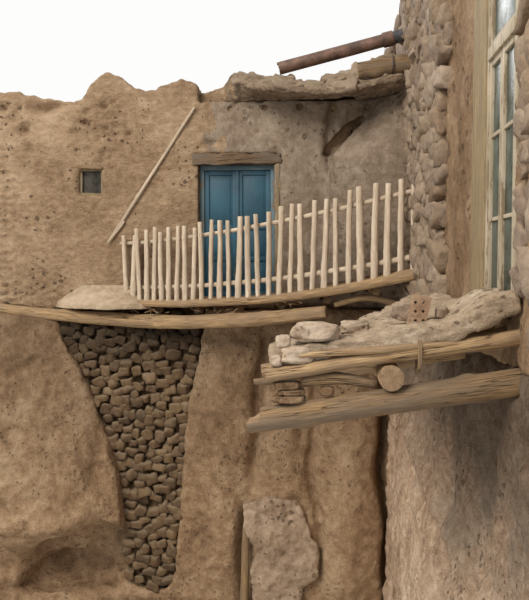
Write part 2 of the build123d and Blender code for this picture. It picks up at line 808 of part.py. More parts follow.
wing_pole_z = wing_height - wing_parapet - wing_mud_thickness - wing_pole_radius
wing_room_depth = house_depth - 2 * wing_wall_back
wing_pole_count = int(wing_room_depth / wing_pole_spacing)
with BuildPart() as wing_roof_poles:
    with BuildSketch(Plane.YZ.offset(wing_inner - pole_bearing)):
        with Locations((0, wing_pole_z)):
            with GridLocations(wing_pole_spacing, 1, wing_pole_count, 1):
                RegularPolygon(wing_pole_radius, 8, rotation=22.5, major_radius=False)
    extrude(amount=wing_room_right - wing_inner + 2 * pole_bearing)
wing_mud_bottom = wing_pole_z + wing_pole_radius
wing_roof_mud = block(wing_inner, wing_room_right, near_end + wing_wall_back, back - wing_wall_back,
                      wing_mud_bottom, wing_mud_bottom + wing_mud_thickness)
for builder in (wing_stone_wall, wing_plaster_pier, wing_head_wall, wing_corner_pier, wing_east_wall):
    with builder:
        add(wing_roof_poles.part, mode=Mode.SUBTRACT)
for builder in (wing_base, wing_sill_wall, wing_stone_wall, wing_plaster_pier, wing_corner_pier):
    with builder:
        add(ledge_near_log.part, mode=Mode.SUBTRACT)
        add(ledge_far_log.part, mode=Mode.SUBTRACT)
        add(ledge_poles.part, mode=Mode.SUBTRACT)
with wing_stone_wall:
    for piece in (balcony_edge_log, balcony_joists, railing_rails, eave_log):
        add(piece.part, mode=Mode.SUBTRACT)

# Wing window
window_front = wing_face + window_setback
with BuildPart() as window_frame:
    with BuildSketch(Plane.YZ.offset(window_front)):
        with Locations((window_y, (window_sill + window_head) / 2)):
            Rectangle(window_width, window_height)
        with Locations((window_y, (window_sill + transom_z) / 2)):
            Rectangle(window_width - 2 * window_bar, transom_z - window_sill - window_bar * 1.5,
                      mode=Mode.SUBTRACT)
        with Locations((window_y, (window_head + transom_z) / 2)):
            Rectangle(window_width - 2 * window_bar, window_head - transom_z - window_bar * 1.5,
                      mode=Mode.SUBTRACT)
    extrude(amount=window_frame_depth)

casement_gap = 3
casement_depth = 40
casement_bar = 42
casement_low = window_sill + window_bar * 0.75
casement_high = transom_z - window_bar * 0.75
casement_width = (window_width - 2 * window_bar - casement_gap) / 2
transom_low = transom_z + window_bar * 0.75
transom_high = window_head - window_bar * 0.75
pane_height = casement_height / casement_panes
bar_heights = [window_sill + pane_height * number + 10 for number in range(1, casement_panes)]


def sash(y0, y1, z0, z1, bars):
    """A sash: an outer frame with thin glazing bars across it."""
    with BuildPart() as piece:
        with BuildSketch(Plane.YZ.offset(window_front + 20)):
            with Locations(((y0 + y1) / 2, (z0 + z1) / 2)):
                Rectangle(y1 - y0, z1 - z0)
                Rectangle(y1 - y0 - 2 * casement_bar, z1 - z0 - 2 * casement_bar, mode=Mode.SUBTRACT)
            for height in bars:
                with Locations(((y0 + y1) / 2, height)):
                    Rectangle(y1 - y0 - casement_bar, glazing_bar)
        extrude(amount=casement_depth)
    return piece


casement_left = sash(window_left - window_bar - casement_width, window_left - window_bar,
                     casement_low, casement_high, bar_heights)
casement_right = sash(window_right + window_bar, window_right + window_bar + casement_width,
                      casement_low, casement_high, bar_heights)
transom_sash = sash(window_right + window_bar, window_left - window_bar, transom_low, transom_high, ())
glass_x = window_front + 20 + casement_depth
window_glass = block(glass_x, glass_x + pane, window_right + window_bar, window_left - window_bar,
                     casement_low, casement_high)
transom_glass = block(glass_x, glass_x + pane, window_right + window_bar, window_left - window_bar,
                      transom_low, transom_high)
with window_glass:
    add(transom_glass.part)
with BuildPart() as window_sashes:
    for piece in (casement_left, casement_right, transom_sash):
        add(piece.part)

# Stove pipe
pipe_start = Vector(wing_face - pipe_reach, pipe_y, wall_head + pipe_above)
pipe_slope = pipe_fall / pipe_reach
pipe_tail = 300
pipe_end = pipe_start + Vector(pipe_reach + pipe_tail, 0, pipe_slope * (pipe_reach + pipe_tail))
pipe_joint = 0.7
pipe_path = Line(pipe_start, pipe_end)


def tube(start, end, outer, inner):
    """A straight round tube between two places along the stove pipe."""
    base = pipe_path @ start
    with BuildPart() as piece:
        with BuildSketch(Plane(origin=base, z_dir=pipe_path % 0)):
            Circle(outer)
            Circle(inner, mode=Mode.SUBTRACT)
        extrude(amount=(pipe_path @ end - base).length)
    return piece


collar_share = collar_length / pipe_path.length
stove_pipe = tube(0, 1, pipe_radius, pipe_radius - pipe_wall)
stove_pipe_collar = tube(pipe_joint - collar_share / 2, pipe_joint + collar_share / 2,
                         collar_radius, pipe_radius)
pipe_bore = tube(pipe_joint, 1, pipe_radius, 1)
with wing_stone_wall:
    add(pipe_bore.part, mode=Mode.SUBTRACT)

pieces = {
    "rock_left": rock_left, "rock_middle": rock_middle, "rock_core": rock_core,
    "stone_infill": stone_infill,
    "wing_base": wing_base, "plaster_patch": plaster_patch, "lower_post": lower_post,
    "main_floor": main_floor, "front_wall": front_wall, "door_head_wall": door_head_wall,
    "porch_wall": porch_wall, "corner_plaster": corner_plaster, "end_wall": end_wall, "back_wall": back_wall,
    "door_lintel": door_lintel, "door_frame": door_frame, "door_leaf_left": door_leaf_left,
    "door_leaf_right": door_leaf_right,
    "small_window_frame": small_window_frame, "small_window_pane": small_window_pane,
    "roof_poles": roof_poles, "roof_mud": roof_mud,
    "eave_mud": eave_mud_cut, "eave_poles": eave_poles, "eave_log": eave_log,
    "balcony_joists": balcony_joists, "balcony_front_log": balcony_front_log,
    "balcony_edge_log": balcony_edge_log, "balcony_deck": balcony_deck, "clay_slab": clay_slab,
    "balcony_branch": balcony_branch,
    "railing_sticks": railing_sticks, "railing_rails": railing_rails, "leaning_pole": leaning_pole,
    "wing_stone_wall": wing_stone_wall, "wing_plaster_pier": wing_plaster_pier,
    "wing_sill_wall": wing_sill_wall, "wing_head_wall": wing_head_wall, "wing_corner_pier": wing_corner_pier,
    "wing_south_wall": wing_south_wall, "wing_east_wall": wing_east_wall, "wing_north_wall": wing_north_wall,
    "wing_floor": wing_floor, "wing_roof_poles": wing_roof_poles,
    "wing_roof_mud": wing_roof_mud, "window_jamb": window_jamb, "window_frame": window_frame,
    "window_sashes": window_sashes, "window_glass": window_glass,
    "stove_pipe": stove_pipe, "stove_pipe_collar": stove_pipe_collar,
    "ledge_near_log": ledge_near_log, "ledge_far_log": ledge_far_log, "ledge_cross_log": ledge_cross_log,
    "ledge_poles": ledge_poles,
    "ledge_mud": ledge_mud, "ledge_stones": ledge_stones, "clay_brick": clay_brick,
    "ledge_packing": ledge_packing,
}
for name, builder in pieces.items():
    finish(builder, name)
print(len(parts), "pieces")
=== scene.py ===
# %% [markdown]
# An adobe house built against a cliff: mud-plastered room, stick-railed balcony,
# rubble stone wing and a broken timber ledge. The CAD model is loaded first as a
# fixed frame in metres, and every piece below is made in that same frame, so a
# wall copied from the frame lies exactly where the solid lies.

import math
import random

import bmesh
import bpy
import numpy as np
from mathutils import Matrix, Vector, noise


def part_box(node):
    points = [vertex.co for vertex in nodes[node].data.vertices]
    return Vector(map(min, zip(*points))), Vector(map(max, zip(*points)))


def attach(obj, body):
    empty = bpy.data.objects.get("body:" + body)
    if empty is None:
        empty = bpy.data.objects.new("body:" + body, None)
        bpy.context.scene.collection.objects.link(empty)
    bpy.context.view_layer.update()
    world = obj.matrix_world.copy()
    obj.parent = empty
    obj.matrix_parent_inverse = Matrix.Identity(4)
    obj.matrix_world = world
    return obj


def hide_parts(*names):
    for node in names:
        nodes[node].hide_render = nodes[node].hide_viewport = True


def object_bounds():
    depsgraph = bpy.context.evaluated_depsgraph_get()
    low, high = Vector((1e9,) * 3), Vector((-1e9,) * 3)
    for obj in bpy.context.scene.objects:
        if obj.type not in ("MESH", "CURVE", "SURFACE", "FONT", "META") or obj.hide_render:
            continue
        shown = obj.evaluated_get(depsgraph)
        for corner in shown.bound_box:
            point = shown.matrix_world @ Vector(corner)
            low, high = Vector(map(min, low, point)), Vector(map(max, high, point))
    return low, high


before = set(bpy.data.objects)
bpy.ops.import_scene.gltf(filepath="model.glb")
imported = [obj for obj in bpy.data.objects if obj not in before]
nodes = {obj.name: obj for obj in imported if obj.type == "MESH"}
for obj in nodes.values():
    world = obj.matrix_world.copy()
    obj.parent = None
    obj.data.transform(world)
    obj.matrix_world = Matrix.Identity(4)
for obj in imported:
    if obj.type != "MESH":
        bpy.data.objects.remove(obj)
cad_low, cad_high = [Vector(corner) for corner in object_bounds()]
print("house", [round(a, 2) for a in cad_low], "to", [round(a, 2) for a in cad_high])

# %% [markdown]
# The photograph was taken from a terrace about as high as the balcony. Its long
# side is 600 pixels, and straight walls in it fit a 740 pixel focal length, which
# on a 36 mm sensor is a 44 mm lens. Walls that run straight back in it meet at
# pixel 320, 262, which gives the camera's turn and tilt. The camera goes first,
# because how large a stone or a straw shows in it decides how fine each pattern
# is made.


# %% Camera
def placed(name, data):
    """A new object in the scene."""
    made = bpy.data.objects.new(name, data)
    bpy.context.scene.collection.objects.link(made)
    return made


image_width, image_height = 529, 600
focal_pixels = 740
vanishing_x, horizon_y = 320, 262
door_y = 1.2
camera_at = Vector((0.15, -8.45, 4.45))
turned_left = math.atan((vanishing_x - image_width / 2) / focal_pixels)
tilted_down = math.atan((image_height / 2 - horizon_y) / focal_pixels)
lens = bpy.data.cameras.new("terrace_camera")
lens.sensor_width = 36
lens.lens = lens.sensor_width * focal_pixels / image_height
camera = placed("terrace_camera", lens)
camera.location = camera_at
camera.rotation_euler = (math.pi / 2 - tilted_down, 0, turned_left)
bpy.context.scene.camera = camera
print("one pixel at the door is", round((door_y - camera_at.y) / focal_pixels * 1000, 1), "mm")

# %% [markdown]
# Colours are written as the sRGB hex values that a paint chart gives, and a
# shader wants linear light, so one function turns them. A second one adds any
# node with its settings and its links, and a last one gives a shader its colour
# and the bump that goes with it. Pattern sizes are kept in millimetres.


# %% Small helpers for materials
def linear(code):
    """An sRGB hex colour as linear red, green, blue and alpha."""
    shares = [int(code[place:place + 2], 16) / 255 for place in (0, 2, 4)]
    return [s / 12.92 if s <= 0.04045 else ((s + 0.055) / 1.055) ** 2.4 for s in shares] + [1.0]


def per_metre(millimetres):
    """The scale of a pattern whose features are that far apart."""
    return 1000 / millimetres


def add(tree, kind, links=None, operation=None, **settings):
    """Add one node. Links feed its sockets, by name or number, from outputs or plain values."""
    node = tree.nodes.new(kind)
    if operation:
        node.operation = operation
    for key, value in settings.items():
        setattr(node, key, value)
    for socket, source in (links or {}).items():
        if isinstance(source, bpy.types.Node):
            source = source.outputs[0]
        if isinstance(source, bpy.types.NodeSocket):
            tree.links.new(source, node.inputs[socket])
        else:
            node.inputs[socket].default_value = source
    return node


def start_material(name, roughness, **sockets):
    """A material with its shader, whose even values are set here, and the tree they live in."""
    material = bpy.data.materials.new(name)
    material.use_nodes = True
    tree = material.node_tree
    tree.nodes.clear()
    even = {label.replace("_", " "): value for label, value in sockets.items()}
    shader = add(tree, "ShaderNodeBsdfPrincipled", {"Roughness": roughness, **even})
    add(tree, "ShaderNodeOutputMaterial", {"Surface": shader})
    return material, tree, shader


def ramp(tree, source, stops):
    """A colour ramp through hex colours, or through greys given as numbers."""
    node = add(tree, "ShaderNodeValToRGB", {"Fac": source})
    elements = node.color_ramp.elements
    while len(elements) < len(stops):
        elements.new(0.5)
    for element, (place, tone) in zip(elements, stops):
        element.position = place
        element.color = linear(tone) if isinstance(tone, str) else (tone, tone, tone, 1)
    return node.outputs["Color"]


def dress(tree, shader, colour, height, relief, strength=1.0):
    """Colour for a shader, and a bump from a height, as deep as relief in metres."""
    bump = add(tree, "ShaderNodeBump", {"Height": height, "Distance": relief, "Strength": strength})
    tree.links.new(colour, shader.inputs["Base Color"])
    tree.links.new(bump.outputs[0], shader.inputs["Normal"])


# %% [markdown]
# Clay and straw render is what most of the house wears: clay, sand and chopped
# straw thrown on by hand. The eye reads three sizes in it. Wide damp and dusty
# patches, hand-sized lumps where it was smeared, and a gritty surface in which
# straw left short pale lines and pits. The colour takes all three, and the bump
# takes the two small ones, because the wide waves are in the mesh itself. Real
# grit and straw are 1 to 3 mm wide, too fine to show at 13 mm to the pixel, so
# both are drawn three times as coarse. Where rain has worked, small holes stand
# in clusters, so a wide noise decides how large the holes may be and each
# Voronoi cell has a chance of its own; inside, the holes are darkened as painted
# shade. Rock also turns pale towards its foot, and is darkened towards its top as
# painted shade under the balcony and the ledge.


# %% Earth materials
def earth(name, dark, middle, light, relief=0.012, patch=700, lump=90, grit=9, streak=1.0,
          straw=0.5, pit=70, pit_shade=0.35, shade_by_height=None):
    """Sunbaked earth: patches, lumps and grit in one hue, straw lines and clusters of pits, the pits
    darkened with painted shade.

    The height argument gives two heights and how bright the earth is at each: it is darkened towards
    the upper one as painted shade, and made paler towards the lower one.
    """
    material, tree, shader = start_material(name, 0.95, Specular_IOR_Level=0.2)
    place = add(tree, "ShaderNodeTexCoord").outputs["Object"]
    drawn = add(tree, "ShaderNodeMapping", {"Vector": place, "Scale": (1, 1, streak)})
    patches = add(tree, "ShaderNodeTexNoise", {
        "Vector": drawn, "Scale": per_metre(patch), "Detail": 6, "Roughness": 0.62})
    pressed = add(tree, "ShaderNodeMapping", {
        "Vector": place, "Scale": (1, 1, 1.7 if streak == 1 else 1)})
    lumps = add(tree, "ShaderNodeTexNoise", {
        "Vector": pressed, "Scale": per_metre(lump), "Detail": 6, "Roughness": 0.7})
    grains = add(tree, "ShaderNodeTexNoise", {
        "Vector": place, "Scale": per_metre(grit), "Detail": 2})
    tone = add(tree, "ShaderNodeMath", {0: patches, 1: 0.45}, "MULTIPLY")
    tone = add(tree, "ShaderNodeMath", {0: lumps, 1: 0.38, 2: tone}, "MULTIPLY_ADD")
    tone = add(tree, "ShaderNodeMath", {0: grains, 1: 0.17, 2: tone}, "MULTIPLY_ADD")
    colour = ramp(tree, tone, [(0.39, dark), (0.5, middle), (0.61, light)])
    turned = add(tree, "ShaderNodeMapping", {
        "Vector": place, "Rotation": (0.5, 0.9, 0.4), "Scale": (1, 6, 6)})
    stalks = add(tree, "ShaderNodeTexNoise", {
        "Vector": turned, "Scale": per_metre(45), "Detail": 3, "Distortion": 0.6})
    stalks = ramp(tree, stalks, [(0.62, 0.0), (0.68, straw)])
    colour = add(tree, "ShaderNodeMix", {
        0: stalks, 6: colour, 7: linear("C9B696")}, data_type="RGBA").outputs[2]
    height = add(tree, "ShaderNodeMath", {0: grains, 1: 0.2}, "MULTIPLY")
    height = add(tree, "ShaderNodeMath", {0: lumps, 1: 1.0, 2: height}, "MULTIPLY_ADD")
    wander = add(tree, "ShaderNodeMix", {
        0: 0.08, 4: place, 5: lumps.outputs["Color"]}, data_type="VECTOR")
    # Painted shade: the colour is darkened towards the upper height and made paler towards the lower
    # one.
    if shade_by_height:
        upper, lower, dull, pale = shade_by_height
        sway = 2.4
        level = add(tree, "ShaderNodeSeparateXYZ", {0: place}).outputs["Z"]
        level = add(tree, "ShaderNodeMath", {0: patches, 1: sway, 2: level}, "MULTIPLY_ADD")
        gain = add(tree, "ShaderNodeMapRange", {
            "Value": level, "From Min": upper + sway / 2, "From Max": lower + sway / 2,
            "To Min": dull, "To Max": pale})
        colour = add(tree, "ShaderNodeMix", {
            0: 1.0, 6: colour, 7: gain}, data_type="RGBA", blend_type="MULTIPLY").outputs[2]
    grouped = add(tree, "ShaderNodeTexNoise", {
        "Vector": place, "Scale": per_metre(pit * 9), "Detail": 2})
    where = ramp(tree, grouped, [(0.47, 0.12), (0.62, 0.46)])
    holes = add(tree, "ShaderNodeTexVoronoi", {
        "Vector": wander.outputs[1], "Scale": per_metre(pit)})
    chance = add(tree, "ShaderNodeSeparateColor", {0: holes.outputs["Color"]})
    reach = add(tree, "ShaderNodeMath", {0: chance, 1: where}, "MULTIPLY")
    inside = add(tree, "ShaderNodeMath", {0: reach, 1: holes.outputs["Distance"]}, "SUBTRACT")
    inside = add(tree, "ShaderNodeMapRange", {"Value": inside, "From Max": 0.07, "To Max": 1.0})
    height = add(tree, "ShaderNodeMath", {0: inside, 1: -0.9, 2: height}, "MULTIPLY_ADD")
    # Painted shade: inside each pit the colour is darkened towards deep brown.
    sunk = add(tree, "ShaderNodeMath", {0: inside, 1: pit_shade}, "MULTIPLY")
    colour = add(tree, "ShaderNodeMix", {
        0: sunk, 6: colour, 7: linear("3A2A1D")}, data_type="RGBA").outputs[2]
    dress(tree, shader, colour, height, relief)
    return material


# Thrown on by hand, rained on for years: warm brown, lumpy, with many holes.
clay_render = earth("clay_and_straw_render", "836A52", "A68C70", "C2A98D", 0.04, pit_shade=0.6)
# Trowelled beside the window and ochre from its own clay: smoother, with runs of rain.
strip_plaster = earth("ochre_window_plaster", "6E573F", "8E745A", "AC9377", 0.03, streak=0.6,
                      straw=0.3, pit_shade=0.5)
# Smoothed under the porch roof: grey, with few holes, and darker as painted shade
# under the porch roof; over the door it stands for the eave's shadow.
porch_and_eave_shade_plaster = earth("smoothed_porch_plaster", "706050", "8A7A69", "AA9B8A", 0.025, streak=0.55,
                      straw=0.25, pit_shade=0.3)
# Lime in the clay of a roof: paler, and dusty.
pale_render = earth("pale_lime_clay_render", "8F7B67", "AB9780", "C6B49B", 0.03, straw=0.3,
                    pit_shade=0.5)
# Dried in a thick slab on the ledge: nearly white where the sun has baked it.
ledge_clay = earth("dried_ledge_clay", "9A8670", "B8A38A", "D3C1AA", 0.03, patch=200, lump=55,
                   pit_shade=0.5)
# Torn from the wall in one lump: a pale broken face with streaks of damp.
torn_plaster = earth("torn_clay_plaster", "84705C", "A8917A", "C4AE96", 0.03, patch=240,
                     streak=0.5, straw=0.3, pit_shade=0.5)
# Volcanic tuff split into blocks: whitish, fine grained, no straw.
pale_tuff = earth("whitish_tuff_block", "98846F", "B8A48E", "D0BFA9", patch=120, lump=30, grit=5,
                  straw=0.0, pit=30, pit_shade=0.4)
# Slabs of bedded rock: thin level layers, drawn by squeezing the noise upright.
layered_stone = earth("layered_brown_stone", "5E4936", "80664C", "9E8468", 0.02, patch=120,
                      lump=34, grit=6, streak=3.0, straw=0.0, pit=40, pit_shade=0.3)
# Smoothed by wet hands on the balcony's end: soft, light and even.
mound_clay = earth("smoothed_clay_mound", "9C8970", "BCA78D", "D2BFA5", 0.02, patch=260,
                   straw=0.25, pit_shade=0.2)
# Heaped on the porch roof with bits of stone in it: mottled and rough.
roof_clay = earth("straw_and_stone_roof_clay", "6A5848", "93806C", "BBA58D", 0.05, patch=220,
                  lump=50, pit=60, pit_shade=0.5)
# Soft rock worn by rain: wide patches with upright streaks, pale at the foot and darker towards the
# top as painted shade under the balcony.
tuff = earth("weathered_tuff_rock", "705841", "987D61", "B89F81", 0.055, lump=110, grit=14,
             streak=0.6, straw=0.15, pit=48, shade_by_height=(3.6, 1.2, 0.73, 1.22))
# The same rock at the wing, rough, with painted shade darkening it under the ledge.
shaded_tuff = earth("rough_dark_tuff_rock", "7D6651", "A9917A", "C9B49D", 0.05, patch=420,
                    lump=70, grit=12, streak=0.8, straw=0.15, pit=48, pit_shade=0.4,
                    shade_by_height=(3.3, 2.1, 0.42, 1.55))
# Mud packed behind dry stones: never lit, so nearly black between them.
bedding_mud = earth("bedding_mud_between_stones", "3B2E22", "55442F", "73604A", 0.03, straw=0.2)
print("earth materials ready")

# %% [markdown]
# Field stones are weathered lava and tuff, each with a tone of its own. The
# stones are made by a node tree that stores a random number on every stone as
# the attribute tone, and the material turns that number into a colour from grey
# to brown, with dust lying on the sides that face up. Where two heights are given,
# the stones also fade to painted shade towards the upper one.


# %% Stone material
def field_stone(name, tones, shaded=None):
    """Dull stone, one tone to each stone, with dust on top and a skin of small pits.

    Shaded gives two heights, between which the stones fade to painted shade towards the upper one.
    """
    material, tree, shader = start_material(name, 0.9, Specular_IOR_Level=0.3)
    place = add(tree, "ShaderNodeTexCoord").outputs["Object"]
    own = add(tree, "ShaderNodeAttribute", attribute_name="tone")
    last = len(tones) - 1
    colour = ramp(tree, own.outputs["Fac"], [(n / last, tone) for n, tone in enumerate(tones)])
    blotch = add(tree, "ShaderNodeTexNoise", {
        "Vector": place, "Scale": per_metre(60), "Detail": 5, "Roughness": 0.7})
    shade = ramp(tree, blotch, [(0.3, 0.62), (0.7, 1.2)])
    colour = add(tree, "ShaderNodeMix", {
        0: 1.0, 6: colour, 7: shade}, data_type="RGBA", blend_type="MULTIPLY").outputs[2]
    facing = add(tree, "ShaderNodeSeparateXYZ", {
        0: add(tree, "ShaderNodeNewGeometry").outputs["Normal"]})
    dust = add(tree, "ShaderNodeMapRange", {
        "Value": facing.outputs["Z"], "From Min": 0.1, "From Max": 0.95, "To Max": 0.55})
    colour = add(tree, "ShaderNodeMix", {
        0: dust.outputs[0], 6: colour, 7: linear("A8957B")}, data_type="RGBA").outputs[2]
    if shaded:
        # Painted shade: the stones darken towards the upper height.
        height = add(tree, "ShaderNodeSeparateXYZ", {0: place}).outputs["Z"]
        fade = add(tree, "ShaderNodeMapRange", {
            "Value": height, "From Min": shaded[0], "From Max": shaded[1], "To Min": 1.0,
            "To Max": 0.3})
        colour = add(tree, "ShaderNodeVectorMath", {0: colour, "Scale": fade}, "SCALE").outputs[0]
    dress(tree, shader, colour, blotch, 0.02)
    return material


# Lava cobbles picked from a field: grey brown, dark where the balcony shades them.
cobble = field_stone("grey_brown_field_stone", [
    "544332", "705B44", "614C38", "7E684C", "6B543D", "8A745A"], shaded=(2.9, 3.5))
# Rubble of the wing, rendered by the mud that rain washes down it: paler and warmer.
rubble = field_stone("mud_washed_rubble", [
    "84705B", "9A8570", "8C7A6A", "A89480", "93806A", "B09E8C"])

# %% [markdown]
# Timber here is poplar and willow: round poles, peeled and left to bleach. Grain
# has to run along a log even where it bends, so every log carries a UV map in
# metres, u around it and v along it, and the wood material reads that map. Long
# dark checks open along the grain as it dries. Real grain is under 1 mm wide, so
# it is drawn at 4 to 12 mm, the finest that shows.


# %% Wood materials
def weathered_wood(name, dark, middle, light, relief, check=0.6, grain=7, patch=90, greyed=0.35):
    """Dry wood: streaks along v, open checks, knots and a grey bloom."""
    material, tree, shader = start_material(name, 0.8, Specular_IOR_Level=0.3)
    along = add(tree, "ShaderNodeUVMap", uv_map="grain").outputs[0]
    fine = add(tree, "ShaderNodeMapping", {
        "Vector": along, "Scale": (per_metre(grain), per_metre(grain * 22), 1)})
    streaks = add(tree, "ShaderNodeTexNoise", {
        "Vector": fine, "Scale": 1.0, "Detail": 6, "Roughness": 0.6, "Distortion": 0.3})
    wide = add(tree, "ShaderNodeMapping", {
        "Vector": along, "Scale": (per_metre(patch), per_metre(650), 1)})
    patches = add(tree, "ShaderNodeTexNoise", {"Vector": wide, "Scale": 1.0, "Detail": 4})
    tone = add(tree, "ShaderNodeMath", {0: patches, 1: 0.45}, "MULTIPLY")
    tone = add(tree, "ShaderNodeMath", {0: streaks, 1: 0.55, 2: tone}, "MULTIPLY_ADD")
    colour = ramp(tree, tone, [(0.36, dark), (0.5, middle), (0.62, light)])
    split = add(tree, "ShaderNodeMapping", {
        "Vector": along, "Scale": (per_metre(38), per_metre(900), 1)})
    checks = add(tree, "ShaderNodeTexNoise", {
        "Vector": split, "Scale": 1.0, "Detail": 4, "Roughness": 0.45})
    line = add(tree, "ShaderNodeMath", {0: checks, 1: 0.5}, "SUBTRACT")
    line = add(tree, "ShaderNodeMath", {0: line}, "ABSOLUTE")
    gap = ramp(tree, line, [(0.0, 1.0), (0.012, 0.0)])
    where = ramp(tree, patches, [(0.45, 0.0), (0.55, check)])
    gap = add(tree, "ShaderNodeMath", {0: gap, 1: where}, "MULTIPLY")
    colour = add(tree, "ShaderNodeMix", {
        0: gap, 6: colour, 7: linear("4A3A2A")}, data_type="RGBA").outputs[2]
    bloom = ramp(tree, patches, [(0.42, greyed), (0.62, 0.0)])
    colour = add(tree, "ShaderNodeMix", {
        0: bloom, 6: colour, 7: linear("8C8376")}, data_type="RGBA").outputs[2]
    height = add(tree, "ShaderNodeMath", {0: gap, 1: -1.6, 2: streaks}, "MULTIPLY_ADD")
    dress(tree, shader, colour, height, relief)
    return material


# Peeled poplar trunks in the sun: straw brown with deep checks.
poplar_log = weathered_wood("weathered_poplar_log", "7C5C3A", "A98860", "C9AE86", 0.007, check=0.9)
# Willow poles under a roof: darker as painted shade, also dusty, little cracked.
shaded_pole = weathered_wood("dusty_willow_pole", "6A4F33", "8F7350", "B0946D", 0.006)
# Thick poplar of the ledge and porch, still brown in its cracks; on the porch beam
# its dark tone is painted shade under the eave.
ledge_log = weathered_wood("brown_poplar_log", "5A442C", "806546", "A48862", 0.008, check=0.9)
# Freshly peeled willow sticks: nearly cream, smooth, fine grained.
peeled_stick = weathered_wood("peeled_willow_stick", "AD9880", "CDBAA2", "E3D4C0", 0.003,
                              check=0.3, grain=5, greyed=0.2)
# Sawn planks turned grey by rain, with coarse grain.
grey_plank = weathered_wood("greyed_poplar_plank", "6F5F45", "92805F", "AE9D7C", 0.005,
                            check=0.9, grain=12, greyed=0.4)
# The window's jamb, once painted: olive brown with narrow stripes.
jamb_plank = weathered_wood("olive_brown_jamb_plank", "776850", "93805F", "AB9875", 0.004,
                            grain=4, patch=24, greyed=0.12)
# The door's lintel, smoked and shaded: dark brown.
red_plank = weathered_wood("brown_lintel_plank", "4A392A", "68543F", "866D54", 0.006, check=0.8)
print("wood materials ready")

# %% [markdown]
# The end of a sawn or broken log shows its rings and a few drying cracks that run
# out from the middle. Its UV map is centred on the log's heart, so the length of
# that UV is the distance from the heart, and a sine of it gives the rings.


# %% End grain
def end_grain(name, dark, light, ring=7):
    """A log's cut end: rings round the heart, with radial cracks."""
    material, tree, shader = start_material(name, 0.9)
    across = add(tree, "ShaderNodeUVMap", uv_map="grain").outputs[0]
    shake = add(tree, "ShaderNodeTexNoise", {"Vector": across, "Scale": per_metre(50), "Detail": 3})
    radius = add(tree, "ShaderNodeVectorMath", {0: across}, "LENGTH").outputs["Value"]
    radius = add(tree, "ShaderNodeMath", {0: shake, 1: 0.02, 2: radius}, "MULTIPLY_ADD")
    rings = add(tree, "ShaderNodeMath", {0: radius, 1: per_metre(ring) * math.tau}, "MULTIPLY")
    rings = add(tree, "ShaderNodeMath", {0: rings}, "SINE")
    rings = add(tree, "ShaderNodeMapRange", {"Value": rings, "From Min": -1})
    parts = add(tree, "ShaderNodeSeparateXYZ", {0: across})
    angle = add(tree, "ShaderNodeMath", {0: parts.outputs[1], 1: parts.outputs[0]}, "ARCTAN2")
    spoke = add(tree, "ShaderNodeTexNoise", {
        "W": angle, "Scale": 3.1, "Detail": 3}, noise_dimensions="1D")
    crack = add(tree, "ShaderNodeMath", {0: spoke, 1: 0.5}, "SUBTRACT")
    crack = add(tree, "ShaderNodeMath", {0: crack}, "ABSOLUTE")
    crack = ramp(tree, crack, [(0.0, 0.7), (0.012, 0.0)])
    mixed = add(tree, "ShaderNodeMath", {0: rings, 1: 0.25, 2: shake}, "MULTIPLY_ADD")
    colour = ramp(tree, mixed, [(0.4, dark), (0.8, light)])
    colour = add(tree, "ShaderNodeMix", {
        0: crack, 6: colour, 7: linear("4E3E2D")}, data_type="RGBA").outputs[2]
    dress(tree, shader, colour, mixed, 0.004)
    return material


# The sawn end of a poplar log, dark with weather, and a willow stick's fresh cut.
log_end = end_grain("sawn_poplar_end", "7E6448", "A1866A")
stick_end = end_grain("cut_willow_end", "C2A97F", "E2CFAC", ring=4)

# %% [markdown]
# Painted joinery has been in the sun for years: the blue door has faded towards
# turquoise where light reaches it, with bare wood on worn edges, and the cream
# sashes have chalked. The wear is a noise that is drawn out along the boards.


# %% Painted joinery
def old_paint(name, deep, faded, bare, wear, roughness=0.55):
    """Brushed oil paint that has faded, dirtied and flaked."""
    material, tree, shader = start_material(name, roughness)
    place = add(tree, "ShaderNodeTexCoord").outputs["Object"]
    drawn = add(tree, "ShaderNodeMapping", {"Vector": place, "Scale": (1, 1, 0.2)})
    brushed = add(tree, "ShaderNodeTexNoise", {
        "Vector": drawn, "Scale": per_metre(14), "Detail": 5})
    fading = add(tree, "ShaderNodeTexNoise", {
        "Vector": place, "Scale": per_metre(420), "Detail": 5})
    tone = add(tree, "ShaderNodeMath", {0: brushed, 1: 0.35, 2: fading}, "MULTIPLY_ADD")
    colour = ramp(tree, tone, [(0.5, deep), (0.85, faded)])
    flakes = add(tree, "ShaderNodeTexNoise", {
        "Vector": drawn, "Scale": per_metre(55), "Detail": 7, "Roughness": 0.7})
    flaked = ramp(tree, flakes, [(0.66 - wear, 0.0), (0.7 - wear, 1.0)])
    colour = add(tree, "ShaderNodeMix", {
        0: flaked, 6: colour, 7: linear(bare)}, data_type="RGBA").outputs[2]
    height = add(tree, "ShaderNodeMath", {0: flaked, 1: -0.5, 2: brushed}, "MULTIPLY_ADD")
    dress(tree, shader, colour, height, 0.0015)
    return material


# Oil paint brushed on the door: deep blue, turquoise where the sun has faded it.
blue_paint = old_paint("faded_blue_door_paint", "103D50", "24586C", "52645F", 0.03)
# Cream paint on the sashes, chalked and flaking, so nearly without gloss.
cream_paint = old_paint("chalky_cream_sash_paint", "A0937A", "BDB09A", "86755C", 0.12,
                        roughness=0.7)
# A thinner coat of the blue on the door's frame, dulled by mud.
frame_paint = old_paint("dulled_frame_paint", "4A6672", "6B8087", "7C6A52", 0.1)

# %% [markdown]
# The stove pipe is rolled sheet steel. Soot and rust have turned it brown and
# grey, with lighter rust where rain runs. Window panes are thin drawn glass,
# slightly green, and the wire round the porch beam is dull iron.


